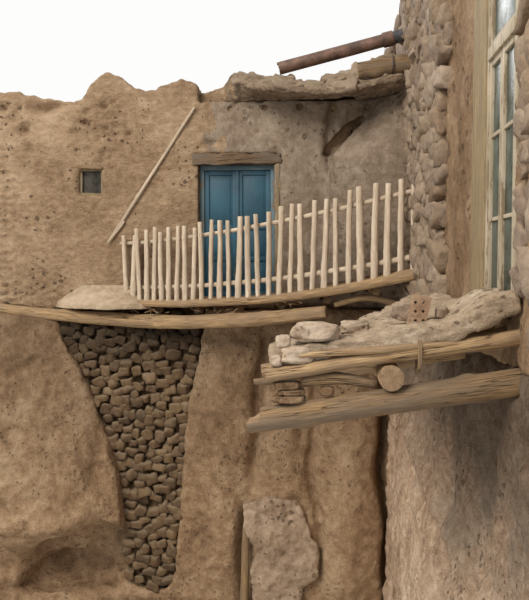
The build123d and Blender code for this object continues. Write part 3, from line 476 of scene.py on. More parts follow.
# %% Steel, wire and glass
def sheet_steel(name, tones):
    """Rolled sheet steel, mottled by rust and soot from the first tone to the last."""
    material, tree, shader = start_material(name, 0.6, Metallic=0.35)
    place = add(tree, "ShaderNodeTexCoord").outputs["Object"]
    rust = add(tree, "ShaderNodeTexNoise", {
        "Vector": place, "Scale": per_metre(160), "Detail": 8, "Roughness": 0.7})
    speck = add(tree, "ShaderNodeTexNoise", {"Vector": place, "Scale": per_metre(12), "Detail": 4})
    mixed = add(tree, "ShaderNodeMath", {0: speck, 1: 0.3, 2: rust}, "MULTIPLY_ADD")
    tone = ramp(tree, mixed, [(0.5 + 0.12 * number, tone) for number, tone in enumerate(tones)])
    dress(tree, shader, tone, mixed, 0.003, strength=0.8)
    return material


# Rust brown along the pipe, and soot grey where it enters the wall.
rusty_steel = sheet_steel("rusted_sheet_steel", ["4E4038", "6E574A", "86685A", "8C8078"])
sooted_steel = sheet_steel("soot_grey_sheet_steel", ["33363A", "4A4D52", "5F5A58", "6D7278"])

# Soft iron wire, brown with rust in spots.
iron_wire, tree, shader = start_material("dull_iron_wire", 0.55, Metallic=0.4)
place = add(tree, "ShaderNodeTexCoord").outputs["Object"]
spots = add(tree, "ShaderNodeTexNoise", {"Vector": place, "Scale": per_metre(8), "Detail": 4})
tree.links.new(ramp(tree, spots, [(0.4, "3A3430"), (0.65, "6A5548")]), shader.inputs["Base Color"])


def old_glass(name, clear, dusty_tone):
    """Thin old glass, dark with painted shade of the unlit room behind it, with dust that dulls it
    in patches.
    """
    material, tree, shader = start_material(
        name, 0.3, Transmission_Weight=0.1, Specular_IOR_Level=0.12)
    place = add(tree, "ShaderNodeTexCoord").outputs["Object"]
    dusty = add(tree, "ShaderNodeTexNoise", {"Vector": place, "Scale": per_metre(120), "Detail": 6})
    tree.links.new(ramp(tree, dusty, [(0.35, clear), (0.7, dusty_tone)]),
                   shader.inputs["Base Color"])
    tree.links.new(ramp(tree, dusty, [(0.4, 0.25), (0.75, 0.6)]), shader.inputs["Roughness"])
    return material


# Clean panes in the wing, and a pane browned by dust in the small window, both dark
# with painted shade of the room behind.
pane_glass = old_glass("thin_greenish_window_glass", "3A443D", "6A7268")
dark_glass = old_glass("dusty_dark_window_glass", "2E2A24", "55504A")

# A fired brick with holes through it: even, fine and a little red.
fired_clay = earth("perforated_fired_brick", "8A705A", "A88C73", "C2AA90", 0.006, patch=120,
                   lump=30, grit=5, straw=0.0)
print("all materials:", len(bpy.data.materials))

# %% [markdown]
# Walls of mud have no sharp edge anywhere. A copy of each CAD wall is joined into
# one closed mesh, turned into small even cells by the voxel Remesh modifier, and
# then pushed about along its normals by a node tree. Noise of two sizes does the
# pushing, and pits are pressed in here and there. The same tree serves walls,
# rock and roofs, because its sizes are inputs. First come the helpers that every
# piece goes through: one names it, gives it any materials passed to it and its
# body, and hides the CAD nodes it stands for, and others turn a bmesh or a tree
# into a mesh.


# %% Helpers that make pieces
def piece(name, mesh, slot, *materials, replaced=()):
    """A finished piece of the house, riding on its one body, in place of some CAD nodes."""
    made = placed(name, mesh)
    for material in materials:
        mesh.materials.append(material)
    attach(made, "root")
    if replaced:
        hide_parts(*replaced)
    print(name, len(mesh.polygons), "faces")
    return made


def meshed(shape, name):
    """The mesh of a finished bmesh, which is then freed."""
    mesh = bpy.data.meshes.new(name)
    shape.to_mesh(mesh)
    shape.free()
    return mesh


def joined_copy(*names):
    """One mesh from copies of CAD nodes, their loose triangles merged."""
    shape = bmesh.new()
    for name in names:
        shape.from_mesh(nodes[name].data)
    bmesh.ops.remove_doubles(shape, verts=shape.verts, dist=0.0002)
    return meshed(shape, "copy")


def geometry_tree(name, **sizes):
    """An empty geometry node tree with one named input for each size."""
    tree = bpy.data.node_groups.new(name, "GeometryNodeTree")
    for direction in ("INPUT", "OUTPUT"):
        tree.interface.new_socket("Geometry", in_out=direction, socket_type="NodeSocketGeometry")
    kinds = {int: "NodeSocketInt", float: "NodeSocketFloat"}
    for label, value in sizes.items():
        kind = kinds.get(type(value), "NodeSocketMaterial")
        socket = tree.interface.new_socket(
            label.replace("_", " "), in_out="INPUT", socket_type=kind)
        if value is not None:
            socket.default_value = value
    return tree, tree.nodes.new("NodeGroupInput").outputs


def grown(mesh, tree, voxel=None, **sizes):
    """The mesh that a node tree makes from another, remeshed first where a voxel size is given."""
    holder = placed("holder", mesh)
    if voxel:
        remesh = holder.modifiers.new("even cells", "REMESH")
        remesh.mode = "VOXEL"
        remesh.voxel_size = voxel
    modifier = holder.modifiers.new(tree.name, "NODES")
    modifier.node_group = tree
    for socket in tree.interface.items_tree:
        label = socket.name.replace(" ", "_")
        if socket.in_out == "INPUT" and label in sizes:
            modifier[socket.identifier] = sizes[label]
    graph = bpy.context.evaluated_depsgraph_get()
    made = bpy.data.meshes.new_from_object(holder.evaluated_get(graph))
    bpy.data.objects.remove(holder)
    return made


def finish_tree(tree, given, shape):
    """End a node tree: keep its shape inside the frame's box, smooth it and paint it."""
    place = add(tree, "GeometryNodeInputPosition")
    inside = add(tree, "ShaderNodeVectorMath", {0: place, 1: tuple(cad_low)}, "MAXIMUM")
    inside = add(tree, "ShaderNodeVectorMath", {0: inside, 1: tuple(cad_high)}, "MINIMUM")
    shape = add(tree, "GeometryNodeSetPosition", {"Geometry": shape, "Position": inside})
    shape = add(tree, "GeometryNodeSetShadeSmooth", {"Geometry": shape})
    shape = add(tree, "GeometryNodeSetMaterial", {"Geometry": shape, "Material": given["Material"]})
    add(tree, "NodeGroupOutput", {0: shape})


# %% [markdown]
# Hands leave waves as wide as an arm reaches and lumps as wide as a palm. Both are
# the same noise at two sizes, each pushed out and in by the same amount, so a wall
# keeps its place on average. Pits are the hearts of Voronoi cells. The push goes
# along the normal, so it works on a wall, a roof and a rock face alike.

# %% The skin tree
skin, given = geometry_tree("hand_smeared_skin", Wave=0.03, Wave_size=0.9, Lump=0.01,
                            Lump_size=0.12, Pit=0.0, Pit_size=0.2, Seed=1.0, Material=None)
normal = add(skin, "GeometryNodeInputNormal")
place = add(skin, "GeometryNodeInputPosition")
push = None
for label in ("Wave", "Lump"):
    scale = add(skin, "ShaderNodeMath", {0: 1.0, 1: given[label + " size"]}, "DIVIDE")
    swell = add(skin, "ShaderNodeTexNoise", {
        "Vector": place, "W": given["Seed"], "Scale": scale, "Detail": 3.0, "Roughness": 0.55},
        noise_dimensions="4D")
    height = add(skin, "ShaderNodeMapRange", {
        "Value": swell, "From Min": 0.25, "From Max": 0.75, "To Min": -1.0}, clamp=False)
    height = add(skin, "ShaderNodeMath", {0: height, 1: given[label]}, "MULTIPLY")
    push = height if push is None else add(skin, "ShaderNodeMath", {0: push, 1: height})
scale = add(skin, "ShaderNodeMath", {0: 1.0, 1: given["Pit size"]}, "DIVIDE")
cells = add(skin, "ShaderNodeTexVoronoi", {"Vector": place, "Scale": scale})
hollow = add(skin, "ShaderNodeMapRange", {
    "Value": cells.outputs["Distance"], "From Max": 0.32, "To Min": -1.0, "To Max": 0.0},
    interpolation_type="SMOOTHSTEP")
hollow = add(skin, "ShaderNodeMath", {0: hollow.outputs[0], 1: given["Pit"]}, "MULTIPLY")
push = add(skin, "ShaderNodeMath", {0: push, 1: hollow})
offset = add(skin, "ShaderNodeVectorMath", {0: normal, "Scale": push}, "SCALE")
pushed = add(skin, "GeometryNodeSetPosition", {"Geometry": given["Geometry"], "Offset": offset})
finish_tree(skin, given, pushed)
print("skin tree has", len(skin.nodes), "nodes")


def rough_skin(mesh, voxel, material, seed, wave, lump, pit=(0.0, 0.2)):
    """A mesh in even cells with waves, lumps and pits, each a pair of depth and width."""
    return grown(mesh, skin, voxel, Wave=wave[0], Wave_size=wave[1], Lump=lump[0],
                 Lump_size=lump[1], Pit=pit[0], Pit_size=pit[1], Seed=seed, Material=material)


def smeared(name, slot, replaced, *look):
    """A rough skin, its look given as to rough_skin, on copies of the CAD nodes it stands for."""
    return piece(name, rough_skin(joined_copy(*replaced), *look), slot, replaced=replaced)


box_low, box_high = np.array(cad_low), np.array(cad_high)


def reshaped(made, mover):
    """Move a piece's vertices by a function of all their places, and keep them in the box."""
    places = np.zeros(len(made.data.vertices) * 3)
    made.data.vertices.foreach_get("co", places)
    places = places.reshape(-1, 3)
    places = np.clip(mover(places), box_low, box_high)
    made.data.vertices.foreach_set("co", places.ravel())
    made.data.update()


def bell(distance, width):
    """A soft bump of height 1 that fades out over a width."""
    return np.exp(-(distance / width) ** 2)


def rising(distance, width):
    """0 behind a line, 1 beyond it, and a slope of some width between."""
    return np.clip(distance / width, 0, 1)


def between(place, low, high, width):
    """1 between two limits, fading to 0 inside each over a width."""
    return rising(place - low, width) * rising(high - place, width)


# %% [markdown]
# The rock under the house is soft tuff, scoured by rain. What one sees first is
# its form: an overhanging brow at the left with a dark hollow under it, a deep
# upright gully beside the wing and a rounded pillar next to that. The voxel copy
# of the CAD rock has the main mass. A few grooves and swellings are then pressed
# into its face, each given by where it is, how wide and how deep, and
# worn beds of harder and softer rock run level across the brow.

# %% Rock under the room
rock_face = smeared("rock_face", "rock", ["rock_left", "rock_middle"], 0.037, tuff, 3.0,
                    (0.045, 0.7), (0.022, 0.15), (0.035, 0.42))
grooves = [(-0.62, 1.5, 3.7, 0.07, 0.20), (-0.86, 0.0, 1.5, 0.08, 0.24),
           (0.10, 0.2, 3.2, 0.06, 0.14), (1.00, 0.0, 3.4, 0.07, 0.36),
           (-2.62, 1.4, 3.0, 0.12, 0.10), (-3.72, 1.9, 3.2, 0.16, 0.08),
           (-0.05, 1.9, 3.6, 0.05, 0.10)]
swellings = [(-1.12, 0.2, 3.4, 0.26, 0.09), (0.55, 0.0, 3.5, 0.26, 0.13),
             (-0.35, 1.6, 3.6, 0.18, 0.08), (-3.0, 0.9, 1.5, 0.5, 0.10),
             (-3.3, 2.3, 3.2, 0.35, 0.08)]
face_back, brow_end = 1.45, -1.9
bed_depth, hollow_depth, brow_swell = 0.022, 0.42, 0.16


def scour(places):
    """Press grooves into the face of the rock, draw its swellings out, hollow its foot."""
    x, y, z = places[:, 0].copy(), places[:, 1], places[:, 2]
    front = rising(face_back - y, 0.35)
    wander = 0.06 * np.sin(z * 2.3) + 0.03 * np.sin(z * 5.7 + 1)
    beds = np.sin(z * 7.3 + 1.6 * np.sin(x * 1.9)) + np.sin(z * 15.1 + 2.1 * np.sin(x * 2.7 + 1))
    y += front * bed_depth * beds * rising(brow_end - x, 0.3)
    for centre, low, high, width, depth in grooves:
        y += front * between(z, low, high, 0.4) * depth * bell(x - centre - wander, width)
    for centre, low, high, width, depth in swellings:
        y -= front * between(z, low, high, 0.5) * depth * bell(x - centre, width)
    hollow_top = 0.72 + 0.42 * bell(x + 2.72, 0.62) + 0.05 * np.sin(x * 9)
    hollow = rising(hollow_top - z, 0.07) * rising(z - 0.1, 0.3)
    y += front * hollow_depth * hollow * rising(x + 3.75, 0.2) * rising(-2.0 - x, 0.25)
    # The rock's foot is flat on the ground, and the brow bulges over the hollow.
    places[z < 0.09, 2] = 0
    y -= front * brow_swell * bell(z - hollow_top - 0.16, 0.14) * bell(x + 3.0, 0.6)
    return places


reshaped(rock_face, scour)
smeared("rock_back", "rock", ["rock_core"], 0.12, tuff, 4.0, (0.05, 0.9), (0.02, 0.25), (0.02, 0.6))

# %% [markdown]
# The wing stands on the same rock. Its west face is near the camera, so that side
# gets fine cells and the far body of the rock coarse ones. The copy is cut by a
# plane for this, and each half is closed again before it is remeshed.


# %% Rock under the wing
def halved(mesh, at_x, keep_low):
    """One side of a mesh cut by an upright plane across x, closed again."""
    shape = bmesh.new()
    shape.from_mesh(mesh)
    every = shape.verts[:] + shape.edges[:] + shape.faces[:]
    bmesh.ops.bisect_plane(shape, geom=every, plane_co=(at_x, 0, 0), plane_no=(1, 0, 0),
                           clear_outer=keep_low, clear_inner=not keep_low)
    bmesh.ops.holes_fill(shape, edges=[edge for edge in shape.edges if edge.is_boundary], sides=0)
    bmesh.ops.recalc_face_normals(shape, faces=shape.faces)
    return meshed(shape, "half")


near_end, far_start = 1.75, 1.45
near_half = rough_skin(halved(joined_copy("wing_base"), near_end, True), 0.041, shaded_tuff, 7.0,
                       (0.032, 0.55), (0.03, 0.1), (0.05, 0.22))
wing_rock = piece("wing_rock", near_half, "rock", replaced=["wing_base"])
far_half = rough_skin(halved(joined_copy("wing_base"), far_start, False), 0.12, shaded_tuff, 8.0,
                      (0.06, 0.9), (0.02, 0.25))
wing_rock_far = piece("wing_rock_far", far_half, "rock", replaced=["wing_base"])
wing_grooves = [(-2.6, 0.4, 3.3, 0.16, 0.10), (-0.9, 0.0, 3.6, 0.12, 0.14),
                (-3.7, 1.8, 3.7, 0.2, 0.08)]


def scour_wing(places):
    """Upright gullies in the west face of the wing's rock, and a long weathered shelf across it."""
    x, y, z = places[:, 0], places[:, 1].copy(), places[:, 2]
    front = rising(1.6 - x, 0.3) * rising(0.9 - y, 0.2)
    wander = 0.05 * np.sin(z * 2.9 + y) + 0.03 * np.sin(z * 6.1)
    for centre, low, high, width, depth in wing_grooves:
        x += front * between(z, low, high, 0.4) * depth * bell(y - centre - wander, width)
    shelf = 2.75 + 0.10 * y + 0.05 * np.sin(y * 3.1)
    # Drawn back below the shelf, the shelf itself, and the groove under it.
    x += front * 0.08 * rising(y + 1.2, 1.2) * rising(3.2 - z, 0.5)
    x -= front * 0.06 * bell(z - shelf, 0.10)
    x += front * 0.05 * bell(z - shelf + 0.28, 0.14)
    return places


reshaped(wing_rock, scour_wing)
rock_inset = 0.02
reshaped(wing_rock_far, lambda places: np.clip(places, box_low + rock_inset, box_high - rock_inset))

# %% [markdown]
# The room's front is one sheet of plaster, from the ragged parapet to the rounded
# corner at the porch, so its four CAD walls are smeared together as one piece.
# Rain has opened holes under the parapet and bared the mud bricks at the left
# end, so their joints are pressed in there. Right of the door the plaster is
# smoother and greyer, a second material on the same mesh, and the same darker
# plaster covers the wall over the door as painted shade under the eave. Walls
# that the photograph does not show are finished the same way, with larger cells.

# %% Mud walls and roofs
mud_front = smeared("mud_front", "mud_plaster",
                    ["front_wall", "door_head_wall", "porch_wall", "corner_plaster"],
                    0.028, clay_render, 1.0, (0.018, 0.8), (0.012, 0.10), (0.014, 0.30))
hollows = [(-3.47, 6.45, 0.19, 0.06, 0.16), (-3.30, 6.49, 0.16, 0.04, 0.08),
           (-3.72, 6.18, 0.06, 0.06, 0.15), (-3.65, 5.94, 0.04, 0.05, 0.08),
           (-4.0, 6.47, 0.07, 0.05, 0.12), (-3.86, 6.34, 0.08, 0.07, 0.10),
           (-3.24, 5.71, 0.025, 0.03, 0.05), (-2.66, 6.46, 0.05, 0.07, 0.06),
           (-1.26, 5.97, 0.10, 0.04, 0.07), (-0.93, 6.52, 0.03, 0.16, 0.06)]
folds = [(0.28, 5.3, 6.6, 0.05, 0.10), (0.45, 5.7, 6.7, 0.06, -0.05), (0.72, 5.8, 6.6, 0.05, 0.05)]
brick_wide, brick_tall, joint_depth = 0.21, 0.105, 0.045
pick = random.Random(5)
rain_pits = 54
for _ in range(rain_pits):
    size = pick.uniform(0.018, 0.038)
    hollows.append((pick.gauss(-2.66, 0.24), pick.gauss(6.2, 0.2), size * 1.3, size, size * 1.5))


def weathered(places):
    """Holes below the parapet, rain pits, and bare mud bricks with washed-out joints."""
    x, y, z = places[:, 0], places[:, 1].copy(), places[:, 2]
    front = rising(1.2 - y, 0.08)
    push = np.zeros(len(x))
    for centre, height, wide, tall, depth in hollows:
        push += depth * np.exp(-((x - centre) / wide) ** 2 - ((z - height) / tall) ** 2)
    course = z / brick_tall + 0.25 * np.sin(x * 9)
    upright = x / brick_wide + 0.5 * (np.floor(course) % 2)
    joint = np.maximum(bell((course % 1) - 0.5, 0.2), bell((upright % 1) - 0.5, 0.09))
    # The plaster has fallen left of a wandering edge, and it crumbles along its foot.
    edge = -3.84 + 0.07 * np.sin(z * 5.1) + 0.04 * np.sin(z * 13)
    bare = rising(edge - x, 0.06) * rising(6.0 - z, 0.15)
    push += bare * (joint_depth * joint + 0.012)
    foot = bell(z - 4.12 - 0.05 * np.sin(x * 7), 0.16) * rising(-3.1 - x, 0.3)
    push += foot * 0.035 * np.sin(x * 31 + 3 * np.sin(z * 21)) * np.sin(z * 33)
    for centre, low, high, width, depth in folds:
        push += between(z, low, high, 0.25) * depth * bell(x - centre - 0.03 * np.sin(z * 5), width)
    places[:, 1] += front * push
    crest = rising(z - 6.42, 0.12) * rising(-0.6 - x, 0.3)
    z += crest * 0.011 * (np.sin(x * 19 + 2 * np.sin(x * 7)) + np.sin(x * 47 + 3) * 0.5 - 0.4)
    return places


reshaped(mud_front, weathered)
mud_front.data.materials.append(porch_and_eave_shade_plaster)
eave_level = 6.5
for face in mud_front.data.polygons:
    heart = face.center
    seam = -0.385 + 0.05 * noise.noise(heart * 4)
    # Painted shade: the darker porch plaster also covers the wall over the door, under the eave.
    eave_shade_over_door = heart.x + 1.25 + 0.45 * noise.noise(heart * 5) > 0 and heart.z > 5.78
    if (heart.x > seam or eave_shade_over_door) and heart.z < eave_level and heart.y < door_y:
        face.material_index = 1
smeared("room_walls", "mud_plaster", ["end_wall", "back_wall"], 0.08, clay_render, 2.0, (0.02, 0.9),
        (0.008, 0.15), (0.01, 0.4))
smeared("room_roof", "mud_plaster", ["roof_mud"], 0.095, pale_render, 5.0, (0.025, 1.3),
        (0.008, 0.2))
smeared("wing_roof", "mud_plaster", ["wing_roof_mud"], 0.095, pale_render, 6.0, (0.02, 1.2),
        (0.008, 0.2))
eave_lip = smeared("eave_lip", "mud_plaster", ["eave_mud"], 0.021, roof_clay, 9.0, (0.02, 0.4),
                   (0.02, 0.08), (0.03, 0.2))
eave_run = [-1.42, -1.10, -0.97, -0.83, -0.59, -0.245, 0.10, 0.476, 0.85, 1.25]
eave_foot = [6.56, 6.56, 6.67, 6.61, 6.53, 6.44, 6.39, 6.40, 6.50, 6.56]
eave_front = [1.03, 1.01, 0.90, 0.72, 0.50, 0.35, 0.27, 0.25, 0.25, 0.28]
lip_thick, slope_back, end_drawn, end_sunk = 0.06, 1.5, 0.22, 0.13


def heaped(places):
    """A thin lip at the eave's front, the earth sloping back and up from it, its west end sunk."""
    x, y, z = places[:, 0], places[:, 1].copy(), places[:, 2].copy()
    above = np.clip(z - np.interp(x, eave_run, eave_foot) - lip_thick, 0, None)
    places[:, 1] += above * slope_back * rising(0.95 - y, 0.5)
    back = rising(y - 0.3, 0.55) * rising(1.4 - y, 0.3) * rising(above, 0.04)
    places[:, 2] += back * (0.02 + 0.13 * rising(x - 0.2, 0.4))
    end = rising(-0.9 - x, 0.45)
    places[:, 1] += end_drawn * end * rising(1.3 - y, 0.3)
    places[:, 2] -= end_sunk * end * rising(above, 0.1)
    return places


reshaped(eave_lip, heaped)
eave_lip.data.materials.append(clay_render)
for face in eave_lip.data.polygons:
    face.material_index = int(face.center.x + 1.0 + 0.2 * noise.noise(face.center * 6) < 0)
smeared("balcony_earth", "mud_plaster", ["balcony_deck"], 0.027, clay_render, 10.0, (0.012, 0.5),
        (0.008, 0.07))
smeared("clay_mound", "mud_plaster", ["clay_slab"], 0.018, mound_clay, 11.0, (0.012, 0.4),
        (0.006, 0.08))
ledge_slab = smeared("ledge_clay_slab", "mud_plaster", ["ledge_mud"], 0.0175, ledge_clay, 12.0,
                     (0.025, 0.35), (0.014, 0.07), (0.03, 0.15))


def broken_edge(places):
    """The slab's front edge drawn back from the poles under it, and broken into layers."""
    x, y, z = places[:, 0], places[:, 1].copy(), places[:, 2]
    layers = 0.006 * np.sin(z * 120 + 9 * np.sin(x * 5))
    places[:, 1] += rising(-4.0 - y, 0.2) * (0.55 * np.clip(-4.17 - y, 0, None) + layers)
    # It lies higher towards the window.
    window_side = rising(x - 0.85, 0.25) * rising(-3.3 - y, 0.4)
    z += window_side * 0.11 * rising(z - 3.98, 0.08)
    return places


reshaped(ledge_slab, broken_edge)
smeared("torn_plaster_patch", "mud_plaster", ["plaster_patch"], 0.016, torn_plaster, 13.0,
        (0.04, 0.35), (0.016, 0.08), (0.04, 0.2))

# %% [markdown]
# Stones in a wall and sticks in a railing are many of a kind, and no two should
# look the same. Two helpers see to that in both node trees: one puts a random
# tone on each instance, the other makes noise that differs wherever the tone does.


# %% Helpers for many of a kind
def with_tone(tree, instances, seed):
    """Real geometry from instances, with a random number on each as the attribute tone."""
    tone = add(tree, "FunctionNodeRandomValue", {"Seed": seed}, data_type="FLOAT")
    marked = add(tree, "GeometryNodeStoreNamedAttribute", {
        "Geometry": instances, "Name": "tone", "Value": tone.outputs[1]}, data_type="FLOAT",
        domain="INSTANCE")
    return add(tree, "GeometryNodeRealizeInstances", {"Geometry": marked})


def noise_by_tone(tree, place, spread, scale, amount):
    """A push by noise, up to an amount each way, that differs from one tone to the next."""
    own = add(tree, "GeometryNodeInputNamedAttribute", {"Name": "tone"}, data_type="FLOAT")
    own = add(tree, "ShaderNodeMath", {0: own, 1: spread}, "MULTIPLY")
    push = add(tree, "ShaderNodeTexNoise", {
        "Vector": place, "W": own, "Scale": scale, "Detail": 1.0}, noise_dimensions="4D")
    push = add(tree, "ShaderNodeVectorMath", {
        0: push.outputs["Color"], 1: (0.5, 0.5, 0.5)}, "SUBTRACT")
    twice = add(tree, "ShaderNodeMath", {0: amount, 1: 2.0}, "MULTIPLY")
    return add(tree, "ShaderNodeVectorMath", {0: push, "Scale": twice}, "SCALE")


# %% [markdown]
# The wing is rubble laid in mud. Its west wall and the plastered strip beside the
# window are one smeared body of mortar, and the stones are then bedded in it by a
# node tree: points scattered at an even distance on the wall, a rough stone on
# each, turned to lie flat, all of them different in size and tone. An even but
# random scatter is what a mason makes who fits each stone beside the last.

# %% The stone laying tree
laid, given = geometry_tree("stones_laid_in_mud", Spacing=0.17, Flatness=0.7, Length=0.24,
                            Depth=0.12, Proud=0.0, Roughness=0.03, Facets=4, Round=0.62, Seed=1,
                            Material=None)
flat = add(laid, "ShaderNodeCombineXYZ", {0: 1.0, 1: 1.0, 2: given["Flatness"]})
tall = add(laid, "ShaderNodeVectorMath", {0: (1, 1, 1), 1: flat}, "DIVIDE")
place = add(laid, "GeometryNodeInputPosition")
stretched = add(laid, "ShaderNodeVectorMath", {0: place, 1: tall}, "MULTIPLY")
drawn_out = add(laid, "GeometryNodeSetPosition", {
    "Geometry": given["Geometry"], "Position": stretched})
points = add(laid, "GeometryNodeDistributePointsOnFaces", {
    "Mesh": drawn_out, "Distance Min": given["Spacing"], "Density Max": 900.0,
    "Seed": given["Seed"]}, distribute_method="POISSON")
squeezed = add(laid, "ShaderNodeVectorMath", {0: place, 1: flat}, "MULTIPLY")
points_down = add(laid, "GeometryNodeSetPosition", {
    "Geometry": points.outputs["Points"], "Position": squeezed})
facing = add(laid, "FunctionNodeAlignRotationToVector", {
    "Vector": points.outputs["Normal"]}, axis="Z")
upright = add(laid, "FunctionNodeAlignRotationToVector", {
    "Rotation": facing, "Vector": (0, 0, 1)}, axis="Y", pivot_axis="Z")
stone = add(laid, "GeometryNodeMeshCube", {
    "Size": (1, 1, 1), "Vertices X": given["Facets"], "Vertices Y": given["Facets"],
    "Vertices Z": given["Facets"]})
ball = add(laid, "ShaderNodeVectorMath", {0: place}, "NORMALIZE")
ball = add(laid, "ShaderNodeVectorMath", {0: ball, "Scale": 0.58}, "SCALE")
worn = add(laid, "ShaderNodeMix", {0: given["Round"], 4: place, 5: ball}, data_type="VECTOR")
stone = add(laid, "GeometryNodeSetPosition", {"Geometry": stone, "Position": worn.outputs[1]})
step = add(laid, "ShaderNodeMath", {0: given["Seed"], 1: 7.0})
sizes = add(laid, "FunctionNodeRandomValue", {
    0: (0.72, 0.7, 0.75), 1: (1.2, 1.15, 1.25), "Seed": given["Seed"]}, data_type="FLOAT_VECTOR")
high = add(laid, "ShaderNodeMath", {0: given["Length"], 1: given["Flatness"]}, "MULTIPLY")
usual = add(laid, "ShaderNodeCombineXYZ", {0: given["Length"], 1: high, 2: given["Depth"]})
sizes = add(laid, "ShaderNodeVectorMath", {0: sizes, 1: usual}, "MULTIPLY")
bedded = add(laid, "GeometryNodeInstanceOnPoints", {
    "Points": points_down, "Instance": stone, "Rotation": upright, "Scale": sizes})
tilt = add(laid, "FunctionNodeRandomValue", {
    0: (-0.25, -0.25, -0.45), 1: (0.25, 0.25, 0.45), "Seed": step}, data_type="FLOAT_VECTOR")
bedded = add(laid, "GeometryNodeRotateInstances", {"Instances": bedded, "Rotation": tilt})
moved = add(laid, "ShaderNodeCombineXYZ", {2: given["Proud"]})
bedded = add(laid, "GeometryNodeTranslateInstances", {"Instances": bedded, "Translation": moved})
loose = with_tone(laid, bedded, step)
chips = noise_by_tone(laid, place, 40.0, 9.0, given["Roughness"])
loose = add(laid, "GeometryNodeSetPosition", {"Geometry": loose, "Offset": chips})
finish_tree(laid, given, loose)
print("stone tree has", len(laid.nodes), "nodes")


def bed(*outlines):
    """Flat faces on which stones are laid, each given by its corners in turn."""
    shape = bmesh.new()
    for corners in outlines:
        shape.faces.new([shape.verts.new(corner) for corner in corners])
    return meshed(shape, "bed")


def stones_on(name, mesh, material, **sizes):
    """Stones laid on a bed by the stone tree, as a piece of the house."""
    return piece(name, grown(mesh, laid, Material=material, **sizes), "rubble")


# %% [markdown]
# The near wall has long flat stones, up to half a metre, with mud washed from their
# faces, so it gets the finest stones. Round the corner they are smaller and deeper
# in their plaster. Walls that the photograph doesn't show get plain ones. Mortar
# and beds lie a little inside the frame's box, because a stone that stands proud
# of a wall on the box's own face would be cut flat there.

# %% Wing walls
wing_names = ["wing_stone_wall", "wing_plaster_pier", "wing_sill_wall", "wing_head_wall",
              "wing_corner_pier"]
west_wall = smeared("wing_west_wall", "rubble", wing_names,
                    0.05, strip_plaster, 14.0, (0.035, 0.42), (0.016, 0.11), (0.03, 0.3))
far_walls = smeared("wing_far_walls", "rubble",
                    ["wing_south_wall", "wing_east_wall", "wing_north_wall"],
                    0.1, strip_plaster, 15.0, (0.012, 0.7), (0.01, 0.15))
mortar_low, mortar_high = box_low + 0.055, box_high - (0.055, 0.055, 0)
for wall in (west_wall, far_walls):
    reshaped(wall, lambda places: np.clip(places, mortar_low, mortar_high))
stone_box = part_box("wing_stone_wall")
wing_face, foot, top = stone_box[0].x, stone_box[0].z, stone_box[1].z - 0.1
pier_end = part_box("wing_plaster_pier")[1].y
corner_start, corner_end = [place.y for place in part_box("wing_corner_pier")]
near_outline = [(0.95, foot - 0.05), (0.95, top), (pier_end + 0.12, top), (pier_end - 0.05, 6.2),
                (pier_end + 0.10, 5.2), (pier_end + 0.05, foot)]
side_outline = [(corner_end - 0.14, foot + 0.45), (corner_end - 0.14, top),
                (corner_start + 0.15, top), (corner_start + 0.15, foot + 0.45)]
near_rubble, side_rubble = [bed([(wing_face, y, z) for y, z in outline])
                            for outline in (near_outline, side_outline)]
stones_on("wing_rubble_near", near_rubble, rubble, Spacing=0.245, Flatness=0.52, Length=0.42,
          Depth=0.17, Proud=-0.035, Roughness=0.075, Facets=6, Round=0.4, Seed=3)
stones_on("wing_rubble_side", side_rubble, rubble, Spacing=0.19, Flatness=0.7, Length=0.26,
          Depth=0.09, Proud=-0.025, Roughness=0.045, Facets=6, Round=0.4, Seed=6)
bed_inset = 0.08
west, south = cad_low.x + 5.5, cad_low.y + bed_inset
east, north = cad_high.x - bed_inset, cad_high.y - bed_inset
room_roof_top, room_front = 6.55, 1.1
far_sides = [((west, south), (east, south), foot), ((east, south), (east, north), foot),
             ((east, north), (wing_face, north), foot),
             ((wing_face, north), (wing_face, room_front), room_roof_top)]
far_rubble = bed(*[[(*start, low), (*end, low), (*end, top), (*start, top)]
                   for start, end, low in far_sides])
stones_on("wing_rubble_far", far_rubble, rubble, Spacing=0.3, Flatness=0.62, Length=0.43,
          Depth=0.1, Roughness=0.02, Facets=4, Seed=4)

# %% [markdown]
# Flat stones lie in the earth of the porch roof, on the slope behind its lip, so
# that wind and rain don't carry it off. The stone tree lays them on a strip that
# follows the slope.

# %% Stones on the porch roof
slope_strip = []
stations = list(zip(eave_run, eave_front, eave_foot))[3:]
for (x0, y0, z0), (x1, y1, z1) in zip(stations, stations[1:]):
    rise0, rise1 = (0.25 + 0.12 * min(max((x - 0.2) / 0.4, 0), 1) for x in (x0, x1))
    slope_strip.append([(x0, y0 + 0.06, z0 + 0.09), (x1, y1 + 0.06, z1 + 0.09),
                        (x1, y1 + 0.5, z1 + rise1), (x0, y0 + 0.5, z0 + rise0)])
stones_on("porch_roof_stones", bed(*slope_strip), rubble, Spacing=0.15, Flatness=0.55,
          Length=0.28, Depth=0.05, Proud=-0.008, Roughness=0.04, Facets=6, Round=0.3, Seed=9)

# %% [markdown]
# Below the balcony a hollow in the rock is packed with dry cobbles, fist sized and
# a little larger, dark where they touch. A bed of shaded mud lies behind them,
# and the same stone tree lays them, rounder, closer and without mortar.

